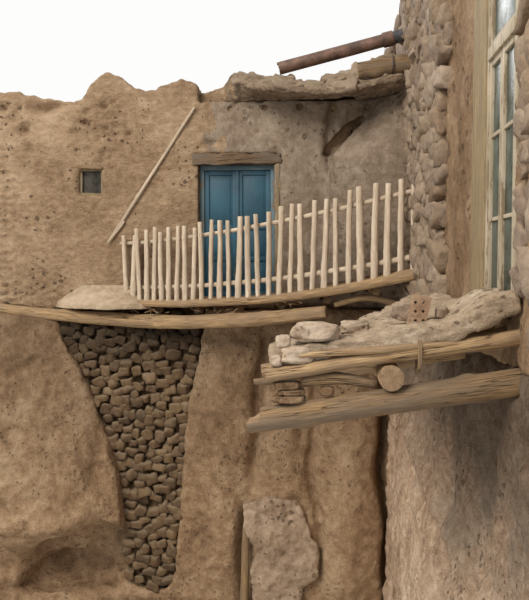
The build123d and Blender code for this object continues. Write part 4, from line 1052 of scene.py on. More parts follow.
# %% Dry stone infill
smeared("infill_bed", "rubble", ["stone_infill"], 0.06, bedding_mud, 16.0, (0.01, 0.4), (0.01, 0.1))
wedge = [(-3.26, 3.78), (-3.16, 3.45), (-2.86, 2.85), (-2.62, 2.1), (-2.46, 1.3), (-2.36, 0.35),
         (-2.05, 0.16), (-1.82, 0.26), (-1.72, 0.8), (-1.62, 1.6), (-1.58, 2.5), (-1.43, 3.3),
         (-1.36, 3.78)]
wedge_foot_y, leans_back, wedge_tall, sunk = 1.0, 0.12, 3.85, 0.03
cobble_face = bed([(x, wedge_foot_y + leans_back * z / wedge_tall - sunk, z)
                   for x, z in reversed(wedge)])
stones_on("infill_cobbles", cobble_face, cobble, Spacing=0.118, Flatness=0.8, Length=0.158,
          Depth=0.15, Proud=0.015, Roughness=0.055, Facets=5, Round=0.42, Seed=8)

# %% [markdown]
# Every pole and log of the house is a young tree: round but not a cylinder. It
# tapers, wanders a little, has swellings where branches were cut, shallow ridges
# along it, and ends that were chopped or sawn. One function lays such a log along
# a few points. Its rings lie square to the path and close at both ends, and its
# UV map holds metres round it and along it, for the grain.


# %% The log maker
def smooth_path(points, count):
    """Places along a curve through the points, the same distance apart."""
    points = [Vector(point) for point in points]
    if len(points) == 2:
        return [points[0].lerp(points[1], number / (count - 1)) for number in range(count)]
    padded = [points[0] * 2 - points[1]] + points + [points[-1] * 2 - points[-2]]
    fine = []
    steps = 12
    for a, b, c, d in zip(padded, padded[1:], padded[2:], padded[3:]):
        for number in range(steps):
            t = number / steps
            fine.append(0.5 * (2 * b + (c - a) * t + (2 * a - 5 * b + 4 * c - d) * t ** 2
                               + (3 * b - a - 3 * c + d) * t ** 3))
    fine.append(points[-1])
    lengths = np.concatenate([[0], np.cumsum([(b - a).length for a, b in zip(fine, fine[1:])])])
    wanted = np.linspace(0, lengths[-1], count)
    return [Vector(np.array([np.interp(place, lengths, [point[axis] for point in fine])
                             for axis in range(3)])) for place in wanted]


def log_rings(shape, points, radii, sides=20, step=0.05, wander=0.004, ridge=0.035, knots=3,
              seed=1):
    """Add one log to a bmesh: rings along a path, two closed ends, and a grain UV map.

    Its bark side has material 0 and its ends have material 1.
    """
    grain = shape.loops.layers.uv.get("grain") or shape.loops.layers.uv.new("grain")
    pick = random.Random(seed)
    length = sum((Vector(b) - Vector(a)).length for a, b in zip(points, points[1:]))
    count = max(4, int(length / step) + 1)
    path = smooth_path(points, count)
    bosses = [(pick.uniform(0.08, 0.92) * length, pick.uniform(0, math.tau),
               pick.uniform(0.1, 0.22)) for _ in range(knots)]
    rings = []
    for number, middle in enumerate(path):
        ahead = path[min(number + 1, count - 1)] - path[max(number - 1, 0)]
        ahead.normalize()
        level = Vector((0, 0, 1)) if abs(ahead.z) < 0.8 else Vector((0, -1, 0))
        side = ahead.cross(level).normalized()
        up = side.cross(ahead)
        share = number / (count - 1)
        run = share * length
        place = share * (len(radii) - 1)
        first = min(int(place), len(radii) - 2)
        radius = radii[first] + (radii[first + 1] - radii[first]) * (place - first)
        drift = wander * min(1, 4 * min(share, 1 - share))
        shift = side * noise.noise((seed, run * 1.7, 3)) * drift
        shift += up * noise.noise((seed, run * 1.7, 8)) * drift
        ring = []
        for corner in range(sides):
            angle = math.tau * corner / sides - math.pi / 2
            across, rise = math.cos(angle), math.sin(angle)
            out = side * across + up * rise
            swell = ridge * noise.noise((across * 2.2 + seed, rise * 2.2, run * 0.9))
            swell += ridge * 0.6 * noise.noise((across * 7 + seed, rise * 7, run * 2.5))
            for at, toward, boss in bosses:
                turn = math.cos(angle - toward)
                if turn > 0.3 and abs(run - at) < 0.12:
                    fade = math.exp(-((run - at) / (radius * 0.7)) ** 2)
                    swell += boss * fade * (turn - 0.3) ** 2 * 2
            ring.append(shape.verts.new(middle + shift + out * radius * (1 + 2 * swell)))
        rings.append((ring, run, radius))
    for (ring, run, radius), (after, run_after, _) in zip(rings, rings[1:]):
        for corner in range(sides):
            following = (corner + 1) % sides
            face = shape.faces.new((ring[corner], ring[following], after[following], after[corner]))
            face.smooth = True
            around = [corner, corner + 1, corner + 1, corner]
            for loop, turn, distance in zip(face.loops, around, (run, run, run_after, run_after)):
                loop[grain].uv = (turn / sides * math.tau * radius + seed * 0.37, distance)
    rim = 0.82
    for ring, run, radius in (rings[0], rings[-1]):
        last = run > 0
        ahead = (path[-1] - path[-2] if last else path[0] - path[1]).normalized()
        heart = sum((vert.co for vert in ring), Vector()) / sides
        inner = [shape.verts.new(heart.lerp(vert.co, rim) + ahead * radius * 0.05) for vert in ring]
        middle = shape.verts.new(heart + ahead * radius * 0.02)
        flat = {}
        for corner, (vert, other) in enumerate(zip(ring, inner)):
            angle = math.tau * corner / sides
            flat[vert] = (math.cos(angle) * radius, math.sin(angle) * radius)
            flat[other] = (math.cos(angle) * radius * rim, math.sin(angle) * radius * rim)
        flat[middle] = (0, 0)
        for corner in range(sides):
            following = (corner + 1) % sides
            order = [(ring[corner], ring[following], inner[following], inner[corner]),
                     (inner[corner], inner[following], middle)]
            for corners in order:
                face = shape.faces.new(corners if last else tuple(reversed(corners)))
                face.material_index = 1
                for loop in face.loops:
                    loop[grain].uv = flat[loop.vert]


def timber(name, logs, slot, replaced, side_material, end_material, **settings):
    """A piece made of one or more logs, each given by its points and its radii."""
    shape = bmesh.new()
    for number, (points, radii) in enumerate(logs):
        log_rings(shape, points, radii, seed=number * 3.7 + len(name), **settings)
    for vert in shape.verts:
        vert.co = Vector([min(max(a, low), high)
                          for a, low, high in zip(vert.co, cad_low, cad_high)])
    bmesh.ops.recalc_face_normals(shape, faces=shape.faces)
    return piece(name, meshed(shape, name), slot, side_material, end_material, replaced=replaced)


# %% [markdown]
# The balcony's front runs on a shallow bow and climbs to the right, so each long
# pole of it follows the same rule as its solid: a straight run in plan, pushed
# out by a parabola, with a height that rises with a power of the way along.

# %% The balcony's front line
porch_line, bow = 1.05, 0.28
balcony_start = Vector((-2.46, porch_line - 0.05, 0))
balcony_end = Vector((wing_face + 0.1, -0.26, 0))
balcony_run = balcony_end - balcony_start
balcony_away = Vector((balcony_run.y, -balcony_run.x, 0)).normalized()
floor_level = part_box("door_frame")[0].z
print("balcony runs", round(balcony_run.length, 2), "m, floor at", round(floor_level, 2))


def on_front(share, low, rise, power, shift=0.0):
    """A point of the balcony's front line, at a height that climbs along it."""
    level = Vector((0, 0, low + rise * share ** power))
    away = balcony_away * (bow * share * (1 - share) + shift)
    return balcony_start + balcony_run * share + away + level


def along_front(low, rise, power, shift=0.0):
    """Points of a bent pole on that line."""
    return [on_front(number / 10, low, rise, power, shift) for number in range(11)]


edge = (floor_level - 0.075, 0.44, 2.5)
top_rail = (floor_level + 0.69, 0.59, 1.6)
low_rail = (floor_level + 0.12, 0.43, 2)
timber("edge_log", [(along_front(*edge), [0.042, 0.048, 0.05, 0.05, 0.052, 0.058, 0.066])],
       "timber", ["balcony_edge_log"], poplar_log, log_end, step=0.045, wander=0.008, knots=6,
       sides=22)
joist_logs = []
joist_count, joist_radius = 7, 0.045
for number in range(joist_count):
    share = (number + 0.9) / joist_count
    tip = on_front(share, *edge, shift=-0.16)
    height = edge[0] + edge[1] * share ** edge[2] - 0.055 - joist_radius
    joist_logs.append(([(tip.x, tip.y, height), (tip.x, porch_line + 0.2, height + 0.008)],
                       [0.043, 0.046]))
# The joists, ends too, take the darker willow wood as painted shade under the deck.
timber("balcony_joist_poles", joist_logs, "timber", ["balcony_joists"], shaded_pole, shaded_pole,
       step=0.08, sides=16)
twigs = []
pick = random.Random(11)
twig_count = 26
for _ in range(twig_count):
    share = pick.uniform(0.0, 0.62)
    start = on_front(share, edge[0] - 0.10, edge[1], edge[2], shift=-0.05)
    start += Vector((0, 0, pick.uniform(-0.02, 0.03)))
    reach = Vector((pick.uniform(-0.12, 0.12), pick.uniform(-0.17, -0.08),
                    pick.uniform(-0.06, 0.03)))
    twigs.append(([start - reach * 0.8, start + reach * 0.6], [pick.uniform(0.006, 0.013), 0.005]))
timber("broken_twigs", twigs, "timber", [], shaded_pole, shaded_pole, sides=6, knots=0, wander=0.01)
front_points = [(-4.08, porch_line + 0.02, 3.84), (-3.3, porch_line - 0.07, 3.76)]
front_points += [on_front(share, edge[0] - 0.23, edge[1], edge[2])
                 for share in (0.05, 0.27, 0.49, 0.71)]
timber("front_log", [(front_points, [0.062, 0.08, 0.088, 0.088, 0.086, 0.066])], "timber",
       ["balcony_front_log"], poplar_log, log_end, wander=0.014, knots=8, sides=26, ridge=0.05)
low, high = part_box("balcony_branch")
timber("bent_branch", [([(low.x, 0.12, low.z + 0.025), ((low.x + high.x) / 2, 0.09, high.z - 0.038),
                         (high.x, 0.12, low.z + 0.045)], [0.027, 0.038, 0.034])], "timber",
       ["balcony_branch"], shaded_pole, log_end, step=0.03, sides=16)

# %% [markdown]
# The railing is thirty peeled willow sticks, no two the same. Geometry Nodes fit
# this well: one stick is made once, then a tree stands copies of it on a foot
# line, closer together at the low end, reaches each to a top line, leans and turns
# it by chance, and bends it a little. The two lines are curves made from the same
# rule as the logs, and the sticks stand a hand's width above the upper one.


# %% Railing sticks
def guide(name, points):
    """A curve that a node tree reads as a line to follow."""
    data = bpy.data.curves.new(name, "CURVE")
    data.dimensions = "3D"
    spline = data.splines.new("POLY")
    spline.points.add(len(points) - 1)
    for place, point in zip(spline.points, points):
        place.co = (*point, 1)
    return placed(name, data)


shares = [number / 40 for number in range(41)]
foot_line = guide("foot_line", [on_front(share, *edge) for share in shares])
top_line = guide("top_line", [on_front(share, *top_rail) for share in shares])
fence, given = geometry_tree("stick_railing", Count=30, First=0.03, Last=0.955, Above=0.14,
                             Uneven=0.03, Lean=0.03, Bend=0.012, Stouter=0.28, Crowded=0.2, Seed=5)
foot = add(fence, "GeometryNodeObjectInfo", {"Object": foot_line})
head = add(fence, "GeometryNodeObjectInfo", {"Object": top_line})
index = add(fence, "GeometryNodeInputIndex")
span = add(fence, "ShaderNodeMath", {0: given["Last"], 1: given["First"]}, "SUBTRACT")
steps = add(fence, "ShaderNodeMath", {0: given["Count"], 1: 1.0}, "SUBTRACT")
evenly = add(fence, "ShaderNodeMath", {0: index, 1: steps}, "DIVIDE")
later = add(fence, "ShaderNodeMath", {0: evenly, 1: 1.0}, "SUBTRACT")
later = add(fence, "ShaderNodeMath", {0: later, 1: given["Crowded"], 2: 1.0}, "MULTIPLY_ADD")
share = add(fence, "ShaderNodeMath", {0: evenly, 1: later}, "MULTIPLY")
share = add(fence, "ShaderNodeMath", {0: share, 1: span, 2: given["First"]}, "MULTIPLY_ADD")
tip = add(fence, "GeometryNodeSampleCurve", {
    "Curves": head.outputs["Geometry"], "Factor": share}, mode="FACTOR")
chance = add(fence, "FunctionNodeRandomValue", {
    0: (-1, -1, -1), 1: (1, 1, 1), "Seed": given["Seed"]}, data_type="FLOAT_VECTOR")
swing = add(fence, "ShaderNodeCombineXYZ", {0: given["Lean"], 1: 0.004, 2: given["Uneven"]})
swing = add(fence, "ShaderNodeVectorMath", {0: chance, 1: swing}, "MULTIPLY")
lift = add(fence, "ShaderNodeCombineXYZ", {2: given["Above"]})
tip = add(fence, "ShaderNodeVectorMath", {0: tip.outputs["Position"], 1: lift})
tip = add(fence, "ShaderNodeVectorMath", {0: tip, 1: swing})
place = add(fence, "GeometryNodeInputPosition")
reach = add(fence, "ShaderNodeVectorMath", {0: tip, 1: place}, "SUBTRACT")
long = add(fence, "ShaderNodeVectorMath", {0: reach}, "LENGTH").outputs["Value"]
stand = add(fence, "FunctionNodeAlignRotationToVector", {"Vector": reach}, axis="Z")
thick = add(fence, "FunctionNodeRandomValue", {
    2: 0.86, 3: 1.2, "Seed": given["Seed"]}, data_type="FLOAT")
stout = add(fence, "ShaderNodeMath", {0: share, 1: given["Stouter"], 2: 1.0}, "MULTIPLY_ADD")
thick = add(fence, "ShaderNodeMath", {0: thick.outputs[1], 1: stout}, "MULTIPLY")
size = add(fence, "ShaderNodeCombineXYZ", {0: thick, 1: thick, 2: long})
feet = add(fence, "GeometryNodeSampleCurve", {
    "Curves": foot.outputs["Geometry"], "Factor": share}, mode="FACTOR")
points = add(fence, "GeometryNodePoints", {
    "Count": given["Count"], "Position": feet.outputs["Position"]})
sticks = add(fence, "GeometryNodeInstanceOnPoints", {
    "Points": points, "Instance": given["Geometry"], "Rotation": stand, "Scale": size})
turn = add(fence, "FunctionNodeRandomValue", {
    0: (0, 0, 0), 1: (0, 0, math.tau), "Seed": given["Seed"]}, data_type="FLOAT_VECTOR")
sticks = add(fence, "GeometryNodeRotateInstances", {"Instances": sticks, "Rotation": turn})
sticks = with_tone(fence, sticks, given["Seed"])
crook = noise_by_tone(fence, place, 50.0, 3.2, given["Bend"])
crook = add(fence, "ShaderNodeVectorMath", {0: crook, 1: (1.6, 0.5, 0)}, "MULTIPLY")
sticks = add(fence, "GeometryNodeSetPosition", {"Geometry": sticks, "Offset": crook})
add(fence, "NodeGroupOutput", {0: sticks})

one = bmesh.new()
log_rings(one, [(0, 0, 0), (0, 0, 1)], [0.030, 0.026], sides=10, wander=0.0, ridge=0.09, seed=4)
stick = meshed(one, "stick")
for material in (peeled_stick, stick_end):
    stick.materials.append(material)
stick_mesh = grown(stick, fence, Bend=0.007, Lean=0.04, Uneven=0.045)
piece("railing_of_sticks", stick_mesh, "pale_timber", replaced=["railing_sticks"])
for line in (foot_line, top_line):
    bpy.data.objects.remove(line)

# %% [markdown]
# The two rails run behind the sticks, tied to them by their own bow. They are the
# same willow, only longer, and so is the pole that leans on the wall beside the
# door with a short one at its foot.

# %% Rails and leaning pole
behind = -0.05
rails = [(along_front(*top_rail, behind), [0.023, 0.026, 0.028]),
         (along_front(*low_rail, behind), [0.024, 0.03, 0.034])]
timber("railing_rail_poles", rails, "pale_timber", ["railing_rails"], peeled_stick, stick_end,
       sides=12, wander=0.01, knots=9)
lean = [(-2.57, porch_line - 0.0255, 4.74), (-1.46, porch_line - 0.0255, 6.42)]
short_lean = [(-2.60, porch_line - 0.045, 4.70), (-2.38, porch_line - 0.03, 4.98)]
timber("leaning_stick", [(lean, [0.023, 0.018]), (short_lean, [0.014, 0.011])], "timber",
       ["leaning_pole"], peeled_stick, stick_end, sides=12, wander=0.012, knots=5)

# %% [markdown]
# Several nodes hold a row of like solids, such as the poles of the ledge and of
# the roofs. Each connected part of such a node gives a box, and a log laid from
# one end of its box to the other keeps the place and slope of its solid.


# %% Poles that follow their solids
def part_boxes(node):
    """The box of each connected solid in a CAD node."""
    shape = bmesh.new()
    shape.from_mesh(joined_copy(node))
    left = set(shape.verts)
    boxes = []
    while left:
        group, waiting = [], [left.pop()]
        while waiting:
            vert = waiting.pop()
            group.append(vert.co.copy())
            for edge in vert.link_edges:
                other = edge.other_vert(vert)
                if other in left:
                    left.remove(other)
                    waiting.append(other)
        boxes.append([Vector([pick(co[axis] for co in group) for axis in range(3)])
                      for pick in (min, max)])
    shape.free()
    return sorted(boxes, key=lambda box: tuple(round(a, 2) for a in box[0]))


def pole_in(box, radius, along, sloping=True):
    """The two ends of a straight pole inside a box, and its radii."""
    low, high = box
    if along == "x":
        y = (low.y + high.y) / 2
        levels = (low.z + radius, high.z - radius) if sloping else ((low.z + high.z) / 2,) * 2
        return [(low.x, y, levels[0]), (high.x, y, levels[1])], [radius * 0.93, radius * 1.03]
    x, z = (low.x + high.x) / 2, (low.z + high.z) / 2
    return [(x, low.y, z), (x, high.y, z)], [radius, radius * 0.95]


def three_turns(x, y, z, wide, tall, lead):
    """The path of a binding wound three times round a log that runs along x."""
    steps = 12
    angles = [math.tau * number / steps for number in range(3 * steps + 1)]
    return [Vector((x + lead * (number // steps), y + wide * math.sin(angle),
                    z + tall * math.cos(angle))) for number, angle in enumerate(angles)]


# %% [markdown]
# The ledge is what is left of a balcony: a near log with a splintered end, a far
# log, one across them and a deck of poles, bound once with a withy. The porch's
# poles and beam are laid the same way, and an iron wire is wound round the beam.

# %% Logs of the ledge, the roofs and the porch
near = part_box("ledge_near_log")
thick = 0.074
near_path = [(near[0].x, near[1].y - thick, near[0].z + thick),
             (near[1].x, near[0].y + thick, near[1].z - thick)]
near_log = timber("ledge_log_near", [(near_path, [0.072, 0.077])], "timber", ["ledge_near_log"],
                  ledge_log, log_end, step=0.015, sides=32, wander=0.008, ridge=0.03, knots=4)
split = 0.075
for vert in near_log.data.vertices:
    if vert.co.z > near_path[0][2] + 0.012 and vert.co.x < near[0].x + split:
        vert.co.x = near[0].x + split + 0.01 * noise.noise(vert.co * 30)
timber("ledge_log_far", [pole_in(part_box("ledge_far_log"), 0.07, "x")], "timber", ["ledge_far_log"],
       poplar_log, log_end, wander=0.006)
timber("ledge_log_across", [pole_in(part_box("ledge_cross_log"), 0.07, "y")], "timber",
       ["ledge_cross_log"], poplar_log, log_end, step=0.04, sides=26)
deck_poles = [pole_in(box, 0.042, "x") for box in part_boxes("ledge_poles")]
timber("ledge_deck_poles", deck_poles, "timber", ["ledge_poles"], poplar_log, log_end, step=0.045,
       sides=16, wander=0.012, ridge=0.06)
twin = [(-0.05, -4.262, 3.915), (0.5, -4.27, 3.958), (1.04, -4.255, 4.01)]
bound = three_turns(0.7, -4.235, 3.925, 0.062, 0.1, 0.008)
timber("ledge_upper_pole", [(twin, [0.017, 0.021, 0.016])], "timber", [], poplar_log, log_end,
       step=0.03, sides=14, wander=0.01)
timber("ledge_pole_binding", [(bound, [0.005, 0.005])], "timber", [], shaded_pole, shaded_pole,
       step=0.012, sides=6, knots=0)
for name, node, radius, along, ends in (("room_roof_poles", "roof_poles", 0.06, "y", log_end),
                                        ("porch_poles", "eave_poles", 0.04, "y", shaded_pole),
                                        ("wing_roof_beams", "wing_roof_poles", 0.08, "x", log_end)):
    boxes = part_boxes(node)
    # The porch poles are drawn back, and their ends take the darker willow wood as painted shade
    # under the eave.
    if ends is shaded_pole:
        boxes = [(low + Vector((0, 0.06, 0)), high) for low, high in boxes]
    rows = [pole_in(box, radius, along, sloping=False) for box in boxes]
    timber(name, rows, "timber", [node], shaded_pole, ends, step=0.2, sides=12)
# The porch beam takes the darker ledge wood as painted shade under the eave.
low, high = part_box("eave_log")
timber("porch_beam", [([(low.x, low.y + 0.1, low.z + 0.09), (high.x, high.y - 0.1, high.z - 0.1)],
                       [0.086, 0.098])], "timber", ["eave_log"], ledge_log, log_end, step=0.04,
       sides=24, wander=0.01, knots=4)
tied = three_turns(0.97, (low.y + high.y) / 2, (low.z + high.z) / 2, 0.104, 0.106, 0.006)
timber("porch_beam_wire", [(tied, [0.005, 0.005])], "timber", [], iron_wire, iron_wire, step=0.015,
       sides=6, knots=0)
low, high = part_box("lower_post")
timber("rock_foot_post", [([(low.x + 0.055, 0.76, low.z), (high.x - 0.048, 0.79, high.z)],
                           [0.055, 0.046])], "timber", ["lower_post"], shaded_pole, log_end,
       sides=18, wander=0.015)

# %% [markdown]
# Joinery is made of boards. Each is a box whose arrises are rounded by a small
# bevel, because on real wood they catch the light. Rough planks are also cut
# into short lengths and pushed about by noise, as an adze leaves them. Their UV
# map runs along the longest side, so that the grain does too.


# %% The board maker
def boards(name, boxes, slot, replaced, material, bevel=0.003, rough=0.0, cell=0.08):
    """A piece made of bevelled boards, each given as x0, x1, y0, y1, z0, z1."""
    shape = bmesh.new()
    grain = shape.loops.layers.uv.new("grain")
    for number, (x0, x1, y0, y1, z0, z1) in enumerate(boxes):
        size = Vector((x1 - x0, y1 - y0, z1 - z0))
        middle = Vector((x0 + x1, y0 + y1, z0 + z1)) / 2
        placing = Matrix.Translation(middle) @ Matrix.Diagonal((*size, 1))
        verts = bmesh.ops.create_cube(shape, matrix=placing)["verts"]
        edges = list({edge for vert in verts for edge in vert.link_edges})
        if rough:
            for axis in range(3):
                cuts = int(size[axis] / cell)
                lines = [edge for edge in edges if edge.is_valid
                         and abs((edge.verts[0].co - edge.verts[1].co).normalized()[axis]) > 0.9]
                if cuts:
                    bmesh.ops.subdivide_edges(shape, edges=lines, cuts=cuts, use_grid_fill=True)
                    edges = [edge for edge in shape.edges if edge.tag is False]
        longest = max(range(3), key=lambda axis: size[axis])
        others = [axis for axis in range(3) if axis != longest]
        for face in shape.faces:
            if face.tag:
                continue
            face.tag = True
            for edge in face.edges:
                edge.tag = True
            for loop in face.loops:
                co = loop.vert.co
                loop[grain].uv = (co[others[0]] + co[others[1]] + number * 0.31, co[longest])
    if rough:
        for vert in shape.verts:
            for scale, shifts, amount in ((5, (0, 40, 80), rough), (19, (3, 43, 83), rough * 0.4)):
                vert.co += Vector([noise.noise(vert.co * scale + Vector((shift, 0, 0)))
                                   for shift in shifts]) * amount
    sharp = [edge for edge in shape.edges if len(edge.link_faces) == 2
             and edge.calc_face_angle() > 1.0]
    bmesh.ops.bevel(shape, geom=sharp, offset=bevel, segments=2, affect="EDGES", profile=0.6)
    for face in shape.faces:
        face.smooth = True
    mesh = meshed(shape, name)
    mesh.set_sharp_from_angle(angle=0.9)
    return piece(name, mesh, slot, material, replaced=replaced)


# %% [markdown]
# The door is a pair of framed leaves: two stiles and three rails each, with thin
# panels let into them, tall above and short below. A cover strip hides the gap,
# and the head of the opening is a rough plank with its face rounded by weather.

# %% Door
low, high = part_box("door_frame")
jamb = 0.06
boards("door_surround", [(low.x, low.x + jamb, low.y, high.y, low.z, high.z),
                         (high.x - jamb, high.x, low.y, high.y, low.z, high.z),
                         (low.x + jamb, high.x - jamb, low.y, high.y, high.z - jamb, high.z)],
       "door_paint", ["door_frame"], frame_paint, bevel=0.005, rough=0.003)
left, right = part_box("door_leaf_left"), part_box("door_leaf_right")
front = right[0].y
leaf_boxes, panel_boxes = [], []
stile, margin = 0.062, 0.03
leaf_thick, gap = 0.038, 0.004
z0, z1 = right[0].z, right[1].z
tall = z1 - z0
for x0, x1 in ((left[0].x, right[0].x - gap), (right[0].x, right[1].x)):
    rails = [z0, z0 + 0.3 * tall - stile / 2, z0 + 0.55 * tall - stile / 2, z1 - stile]
    leaf_boxes += [(x0, x0 + stile, front, front + leaf_thick, z0, z1),
                   (x1 - stile, x1, front, front + leaf_thick, z0, z1)]
    leaf_boxes += [(x0 + stile, x1 - stile, front + 0.002, front + 0.036, z,
                    z + stile) for z in rails]
    for z, above in zip(rails, rails[1:]):
        panel_boxes.append((x0 + stile, x1 - stile, front + 0.018, front + 0.03, z + stile, above))
        panel_boxes.append((x0 + stile + margin, x1 - stile - margin, front + 0.010, front + 0.02,
                            z + stile + margin, above - margin))
middle = (left[0].x + right[1].x) / 2
half_strip = 0.019
leaf_boxes.append((middle - half_strip, middle + half_strip, left[0].y, front, left[0].z,
                   left[1].z))
boards("door_leaves", leaf_boxes, "door_paint", ["door_leaf_left", "door_leaf_right"], blue_paint)
boards("door_panels", panel_boxes, "door_paint", [], blue_paint, bevel=0.005)
low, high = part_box("door_lintel")
boards("door_head_plank", [(low.x - 0.01, high.x + 0.01, low.y - 0.03, high.y, low.z, high.z)],
       "timber", ["door_lintel"], red_plank, bevel=0.012, rough=0.022, cell=0.05)
batten = (high.x - 0.045, high.x - 0.005, porch_line - 0.02, porch_line + 0.02, floor_level, low.z)
boards("door_side_batten", [batten], "timber", [], grey_plank, bevel=0.004, rough=0.012, cell=0.06)

# %% [markdown]
# The small window is a frame of four battens. The tall one has an outer frame, two
# casements of three panes each and a light above them, so its boards are listed by
# a loop over those three fields. The sashes stand a little back from the frame,
# and each pane runs half a rail under the wood that holds it.

# %% Windows
low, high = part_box("small_window_frame")
bar = 0.035
boards("small_window_surround", [(low.x, high.x, low.y, high.y, high.z - bar, high.z),
                                 (low.x, high.x, low.y, high.y, low.z, low.z + bar),
                                 (low.x, low.x + bar, low.y, high.y, low.z + bar, high.z - bar),
                                 (high.x - bar, high.x, low.y, high.y, low.z + bar, high.z - bar)],
       "timber", ["small_window_frame"], grey_plank, bevel=0.004, rough=0.008, cell=0.04)
timber("small_window_lintel", [([(-3.08, 1.045, 5.69), (-2.67, 1.04, 5.665)], [0.02, 0.017])],
       "timber", [], shaded_pole, shaded_pole, step=0.03, sides=10, knots=1)
low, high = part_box("window_frame")
bar, casement, panes_high = 0.05, 1.6, 3
thin = bar * 0.75
meet = low.z + casement
front = low.x - 0.045
boards("window_outer_frame", [(front, high.x, low.y, low.y + bar, low.z, high.z),
                              (front, high.x, high.y - bar, high.y, low.z, high.z),
                              (front, high.x, low.y + bar, high.y - bar, low.z, low.z + thin),
                              (front, high.x, low.y + bar, high.y - bar, high.z - thin, high.z),
                              (front - 0.012, high.x, low.y + bar, high.y - bar, meet - thin,
                               meet + thin)], "cream_paint", ["window_frame"], cream_paint,
       bevel=0.004, rough=0.003)
sash_boxes = []
rail, half_bar = 0.042, 0.012
half = (high.y - low.y - 2 * bar - 0.003) / 2
x0, x1 = front + 0.006, front + 0.045
fields = [(low.y + bar, low.y + bar + half, low.z + thin, meet - thin, panes_high - 1),
          (high.y - bar - half, high.y - bar, low.z + thin, meet - thin, panes_high - 1),
          (low.y + bar, high.y - bar, meet + thin, high.z - thin, 0)]
for y0, y1, z0, z1, bars in fields:
    sash_boxes += [(x0, x1, y0, y0 + rail, z0, z1), (x0, x1, y1 - rail, y1, z0, z1),
                   (x0 + 0.002, x1, y0 + rail, y1 - rail, z0, z0 + rail),
                   (x0 + 0.002, x1, y0 + rail, y1 - rail, z1 - rail, z1)]
    for number in range(bars):
        level = low.z + casement * (number + 1) / panes_high + 0.01
        sash_boxes.append((x0 + 0.006, x1, y0 + rail, y1 - rail, level - half_bar,
                           level + half_bar))
boards("window_sash_bars", sash_boxes, "cream_paint", ["window_sashes"], cream_paint)
panes = [(x0 + 0.02, x0 + 0.025, y0 + rail / 2, y1 - rail / 2, z0 + rail / 2, z1 - rail / 2)
         for y0, y1, z0, z1, bars in fields]
boards("window_panes", panes, "glass", ["window_glass"], pane_glass, bevel=0.001)
low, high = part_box("window_jamb")
middle = (low.y + high.y) / 2
boards("window_jamb_planks", [(low.x - 0.025, high.x, low.y + gap, middle - gap, low.z, high.z),
                              (low.x - 0.018, high.x, middle, high.y, low.z, high.z)],
       "timber", ["window_jamb"], jamb_plank, bevel=0.008, rough=0.008, cell=0.09)
for node, material in (("small_window_pane", dark_glass), ("main_floor", clay_render),
                       ("wing_floor", clay_render), ("clay_brick", fired_clay)):
    nodes[node].data.materials.clear()
    nodes[node].data.materials.append(material)
print("kept CAD nodes dressed")

# %% [markdown]
# The stove pipe is a sheet steel tube that leaves the wing through a collar. It is
# drawn as rings outside and inside with a ragged mouth, slightly dented, so its
# end shows a real edge and a dark bore. The solid gives only the pipe's box, and
# how far its end reaches past its axis depends on the slope, so the slope is found
# by a few rounds of the same sum.


# %% Stove pipe
def steel_tube(name, start, ahead, length, outer, inner, replaced, sooted_from, dent=0.003,
               ragged=0.0):
    """A dented sheet metal tube, open at both ends, soot grey beyond a place along x."""
    shape = bmesh.new()
    sides, count = 32, max(3, int(length / 0.05))
    ahead = Vector(ahead).normalized()
    side = ahead.cross(Vector((0, 0, 1))).normalized()
    up = side.cross(ahead)
    grid = {}
    for layer, radius in enumerate((outer, inner)):
        for number in range(count):
            for corner in range(sides):
                angle = math.tau * corner / sides
                across, rise = math.cos(angle), math.sin(angle)
                out = side * across + up * rise
                run = length * number / (count - 1)
                if number == 0:
                    run += ragged * (0.5 + noise.noise((across * 3, rise * 3, 5)))
                push = dent * noise.noise((across * 1.5, rise * 1.5, run * 3))
                place = start + ahead * run + out * (radius + push)
                grid[layer, number, corner] = shape.verts.new(place)
    for corner in range(sides):
        after = (corner + 1) % sides
        for layer in (0, 1):
            for number in range(count - 1):
                near, far = number, number + 1
                shape.faces.new([grid[layer, a, b] for a, b in (
                    (near, corner), (near, after), (far, after), (far, corner))])
        for number in (0, count - 1):
            shape.faces.new([grid[a, number, b]
                             for a, b in ((0, corner), (0, after), (1, after), (1, corner))])
    bmesh.ops.recalc_face_normals(shape, faces=shape.faces)
    for face in shape.faces:
        face.smooth = True
    mesh = meshed(shape, name)
    mesh.set_sharp_from_angle(angle=0.7)
    for face in mesh.polygons:
        face.material_index = int(face.center.x > sooted_from)
    piece(name, mesh, "pipe_metal", rusty_steel, sooted_steel, replaced=replaced)


low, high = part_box("stove_pipe")
collar = sum(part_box("stove_pipe_collar"), Vector()) / 2
slope, reach = 0.25, 0.078
for _ in range(6):
    slope = math.atan2(collar.z - low.z - reach * math.cos(slope),
                       collar.x - low.x - reach * math.sin(slope))
print("pipe climbs", round(math.degrees(slope), 1), "degrees")
pipe_start = Vector((low.x + reach * math.sin(slope), (low.y + high.y) / 2,
                     low.z + reach * math.cos(slope)))
pipe_way = Vector((math.cos(slope), 0, math.sin(slope)))
pipe_length = (high.x - low.x) / math.cos(slope) - 0.04
half_band, nowhere = 0.062, 9.0
steel_tube("rusty_stove_pipe", pipe_start, pipe_way, pipe_length, 0.077, 0.0735, ["stove_pipe"],
           collar.x, ragged=0.02)
steel_tube("pipe_collar_band", collar - pipe_way * half_band, pipe_way, 2 * half_band, 0.0915,
           0.079, ["stove_pipe_collar"], nowhere, dent=0.002)

# %% [markdown]
# Loose stones lie on the ledge and pack its logs. Each is a ball of 1,280 small
# faces, made squarer by a power of its own coordinates, pulled to the size of its
# place and roughened by noise, as broken stone is.


# %% Loose stones
squareness, middle_tone = 0.62, 0.5


